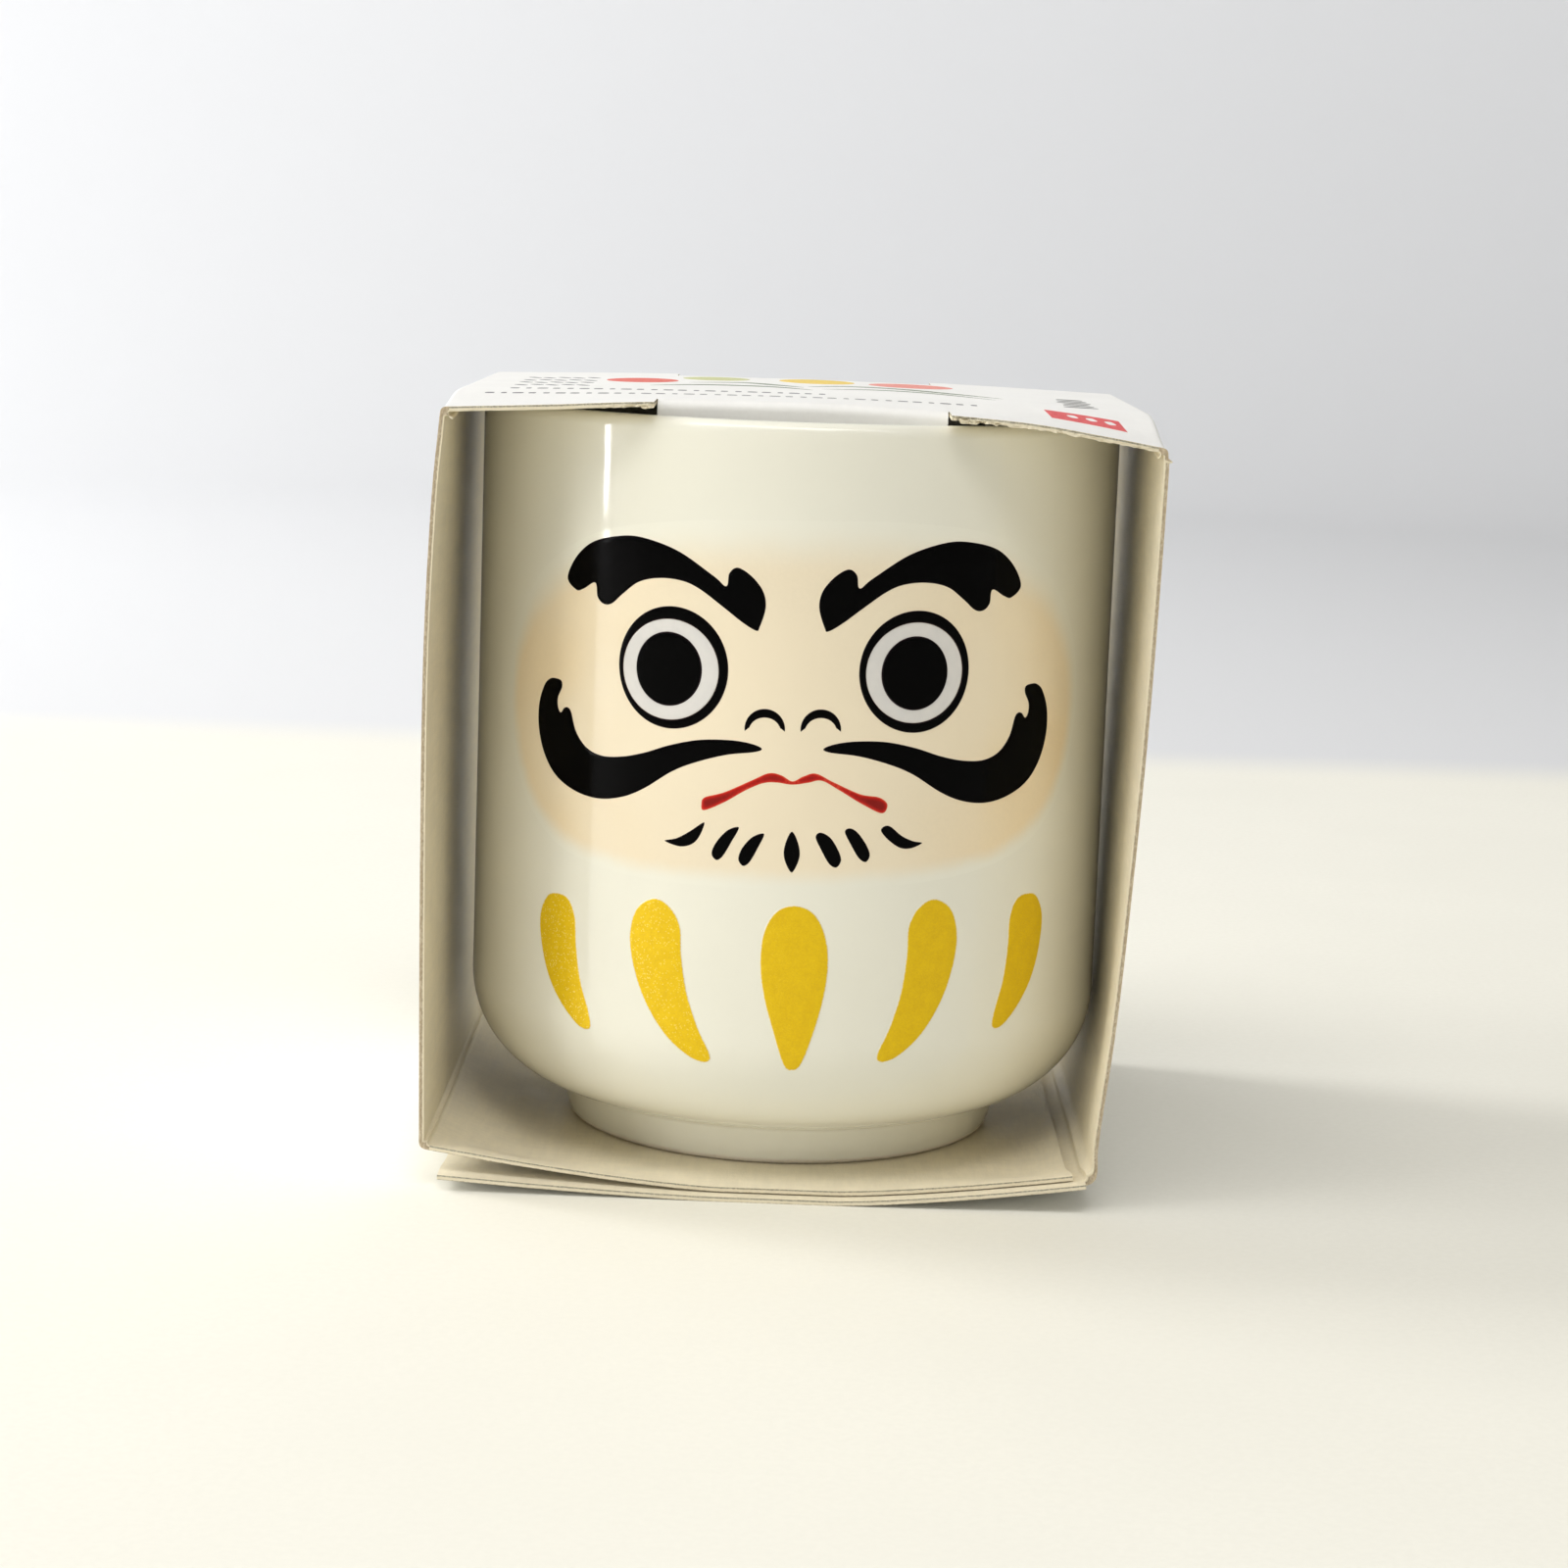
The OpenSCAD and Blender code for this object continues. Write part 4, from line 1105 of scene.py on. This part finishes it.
class TopPrint(bpy.types.Operator):
    """Print the sleeve's top with plain spots, ribbons, dashes and a red bar"""
    bl_idname = "tea_cup.top_print"
    bl_label = "Top print"
    bl_options = {"REGISTER", "UNDO"}

    def execute(self, context):
        def ink(name, loops, first, second, grain=0.8):
            """A layer of ink, 0.012 mm proud of the board."""
            film(name, loops, on_top, INK_BACK, 0.012, "sleeve", None, [],
                 paint_ink(f"ink_{name}", first, second), grain, 0.05)

        def spot(x, y, rx, ry):
            """An ellipse about (x, y)."""
            return ring(rx, ry, 72) + (x, y)

        def bar(x, y, width, height, turn=0.0):
            """A rounded bar turned about its middle: (w/2 |cos t|^0.6, h/2 |sin t|^0.6) with the signs of
            cos t and sin t."""
            t = np.arange(28) * 2 * PI / 28
            shape = np.stack([side / 2 * np.sign(f(t)) * np.abs(f(t)) ** 0.6
                              for side, f in ((width, np.cos), (height, np.sin))], -1)
            c, s = math.cos(turn), math.sin(turn)
            return shape @ np.array([[c, s], [-s, c]]) + (x, y)

        def ribbon(points, width):
            """A band along a smooth curve whose half width swells as sin(pi u)."""
            u = np.linspace(0, 1, 40)
            mid = along(points, u)
            step = np.gradient(mid, axis=0)
            normal = np.stack([-step[:, 1], step[:, 0]], -1) / np.linalg.norm(step, axis=1)[:, None]
            half = (width * (0.12 + 0.88 * np.sin(PI * u)))[:, None] / 2
            return np.vstack([mid + normal * half, (mid - normal * half)[::-1]])

        ink("spots_red", [spot(-18.4, 13, 4.1, 5.6)], (0.70, 0.10, 0.08), (0.78, 0.17, 0.12))
        ink("spots_rose", [spot(12.4, 20, 4.9, 5.2)], (0.74, 0.22, 0.19), (0.82, 0.34, 0.27))
        ink("spots_gold", [spot(1.5, 21.5, 4.4, 5.6)], (0.80, 0.55, 0.07), (0.86, 0.65, 0.14))
        ink("spots_green", [spot(-10.2, 21, 3.9, 4.6)], (0.52, 0.55, 0.24), (0.62, 0.63, 0.33))
        ink("ribbons", [ribbon([(-17, 0.5), (-11, 4.5), (-4, 4.5), (1, 0)], 2.2),
                        ribbon([(-13, 10), (-7, 12.5), (-3, 9), (0, 5.5)], 1.8),
                        ribbon([(0.5, 8), (5, 12), (11, 11), (17, 5), (22, 0)], 2.0),
                        ribbon([(2, 3), (8, 6), (14, 4), (21, -4)], 1.6)],
            (0.16, 0.19, 0.13), (0.25, 0.29, 0.20), grain=0.5)
        wide = (1.0, 0.6, 1.2, 0.8, 0.7, 1.1)
        rows = []
        for y0, x0, x1, height in ((-17.2, -33, 19, 1.3), (-9.5, -31, 3, 2.0)):
            steps = np.arange(x0, x1, 1.5)
            rows += [bar(x, y0 + 0.9 * math.sin(x * 0.09), wide[k % len(wide)], height)
                     for k, x in enumerate(steps)]
        rows += [bar(-31 + 1.7 * (k % 5), -2 + 6.2 * (k // 5) + 0.8 * (k % 2), 1.0, 2.4, 0.5)
                 for k in range(20)]
        ink("dashes_grey", rows, (0.16, 0.15, 0.16), (0.26, 0.25, 0.26), grain=0.7)
        ink("dashes_black", [bar(29.9, -9 + 3.4 * k, 3.8 - 0.4 * (k % 3), 1.7, 0.12) for k in range(6)],
            (0.06, 0.06, 0.06), (0.12, 0.12, 0.12), grain=0.7)
        label = np.array([(25.4, -15.4), (25.9, -21.6), (33.5, -25.2), (33.0, -19.4)])
        u = np.linspace(0, 1, 14, endpoint=False)[:, None]
        edge = np.vstack([mix(label[k], label[(k + 1) % 4], u) for k in range(4)])
        marks = [bar(28.2 + 1.9 * k, -19.2 - 1.0 * k, 0.9, 1.9, 0.3) for k in range(3)]
        ink("label_red", [edge] + marks, (0.66, 0.075, 0.085), (0.74, 0.12, 0.12), grain=0.6)
        return {"FINISHED"}


class Stage(bpy.types.Operator):
    """Set up the table, the wall, the soft light and the camera"""
    bl_idname = "tea_cup.stage"
    bl_label = "Stage"
    bl_options = {"REGISTER", "UNDO"}

    def execute(self, context):
        """The table is a wide round floor that turns up into a low wall: the profile (r, z) goes round as
        (r sin t, r cos t, z)."""
        stage = context.scene.tea_stage
        reach, cove, rim, turns = 1250.0, 350.0, 460.0, 96
        path = np.vstack([[(r, 0) for r in (0.01, 40, 150, 400, 700)],
                          arc((reach - cove, cove), cove, -90, 0, 25), [(reach, rim)]])
        t = np.arange(turns) * 2 * PI / turns
        points = np.stack(np.broadcast_arrays(path[:, :1] * np.sin(t), path[:, :1] * np.cos(t), path[:, 1:]),
                          -1).reshape(-1, 3)
        floor = new_piece("table_and_wall", points, strip_faces(len(path), turns)[:, ::-1], None, None,
                          [], [paint_table(stage)])

        scene = bpy.context.scene
        world = bpy.data.worlds.new("soft_sky")
        scene.world = world
        world.use_nodes = True
        sky = world.node_tree.nodes["Background"]
        sky.inputs["Color"].default_value = (1.0, 0.985, 0.955, 1)
        sky.inputs["Strength"].default_value = stage.sky

        def lamp(name, at, aim, size, power, rgb=(1, 1, 1)):
            """A rectangular light of a size, at a place and aimed at another."""
            light = bpy.data.lights.new(name, "AREA")
            light.shape, light.size, light.size_y = "RECTANGLE", size[0], size[1]
            light.energy, light.color = power, rgb
            thing = bpy.data.objects.new(name, light)
            scene.collection.objects.link(thing)
            thing.location = at
            thing.visible_camera = False
            thing.rotation_euler = (Vector(aim) - Vector(at)).to_track_quat("-Z", "Y").to_euler()
            return thing

        # The window's two panes give its soft light, and a narrower one of its own gives the reflection.
        window_x, window_z, tall = -0.62, 0.42, 0.80
        for k, (y0, wide) in enumerate(((-0.335, 0.20), (-0.125, 0.17))):
            pane = lamp(f"window_pane_{k}", (window_x, y0, window_z), (0.0, y0, window_z), (wide, tall),
                        stage.window * wide / 0.2, (1.0, 0.99, 0.97))
            pane.visible_glossy = False
        glint = lamp("window_glint", (window_x, -0.25, window_z), (0.0, -0.25, window_z), (0.15, tall), 6.5)
        glint.visible_diffuse = False
        lamp("back_soft", (-0.9, 0.95, 0.35), (0.04, 0.02, 0.05), (0.6, 0.6), 6.0)
        lamp("front_soft", (-0.2, -0.55, 1.25), (0, 0, 0.03), (1.0, 0.5), 6.0, (1.0, 0.98, 0.95))
        lamp("ceiling_soft", (-0.1, 0.0, 1.35), (0, 0, 0), (0.9, 0.9), 0.9, (1.0, 0.99, 0.965))
        lamp("wall_wash", (-0.80, 0.30, 0.70), (0.25, 1.25, 0.30), (0.5, 0.6), 8.5)
        lamp("strip_a", (0.16, -0.42, 1.05), (0.05, -0.05, 0.08), (0.42, 0.02), 0.7)
        lamp("strip_b", (0.46, -0.52, 0.95), (0.05, -0.05, 0.08), (0.16, 0.02), 0.3)

        camera = bpy.data.objects.new("camera", bpy.data.cameras.new("camera"))
        scene.collection.objects.link(camera)
        camera.data.sensor_width, camera.data.lens = 36.0, 76.5
        camera.data.clip_start, camera.data.clip_end = 0.01, 20.0
        yaw, pitch, roll = -0.001612, 0.162243, 0.036405
        turn = Matrix.Rotation(-yaw, 3, "Z") @ Euler((PI / 2 - pitch, 0, 0)).to_matrix() \
            @ Matrix.Rotation(roll, 3, "Z")
        camera.location = (0.0, -0.369652, 0.09794 + FOOT_Z * MM)
        camera.rotation_euler = turn.to_euler()
        scene.camera = camera
        scene.view_settings.view_transform = "Standard"
        return {"FINISHED"}


class Sidebar(bpy.types.Panel):
    """Lists the steps in the order in which they are run"""
    bl_idname = "VIEW3D_PT_tea_cup"
    bl_label = "Tea Cup"
    bl_space_type = "VIEW_3D"
    bl_region_type = "UI"
    bl_category = "Tea Cup"

    def draw(self, context):
        for step in STEPS:
            self.layout.operator(step.bl_idname)
        for name in ("tea_cup", "tea_sleeve", "tea_stage"):
            group = getattr(context.scene, name)
            for key in group.bl_rna.properties.keys():
                if key not in ("rna_type", "name"):
                    self.layout.prop(group, key)


STEPS = (Stage, CupBody, Face, GoldStrokes, Panels, TopPanel, Folds, LockTabs, TopPrint)
GROUPS = (CupSettings, SleeveSettings, StageSettings)


def register():
    for cls in GROUPS + STEPS + (Sidebar,):
        bpy.utils.register_class(cls)
    bpy.types.Scene.tea_cup = PointerProperty(type=CupSettings)
    bpy.types.Scene.tea_sleeve = PointerProperty(type=SleeveSettings)
    bpy.types.Scene.tea_stage = PointerProperty(type=StageSettings)


def unregister():
    del bpy.types.Scene.tea_cup, bpy.types.Scene.tea_sleeve, bpy.types.Scene.tea_stage
    for cls in reversed(GROUPS + STEPS + (Sidebar,)):
        bpy.utils.unregister_class(cls)


def main():
    register()
    for step in STEPS:
        group, name = step.bl_idname.split(".")
        getattr(getattr(bpy.ops, group), name)()


if __name__ == "__main__":
    main()
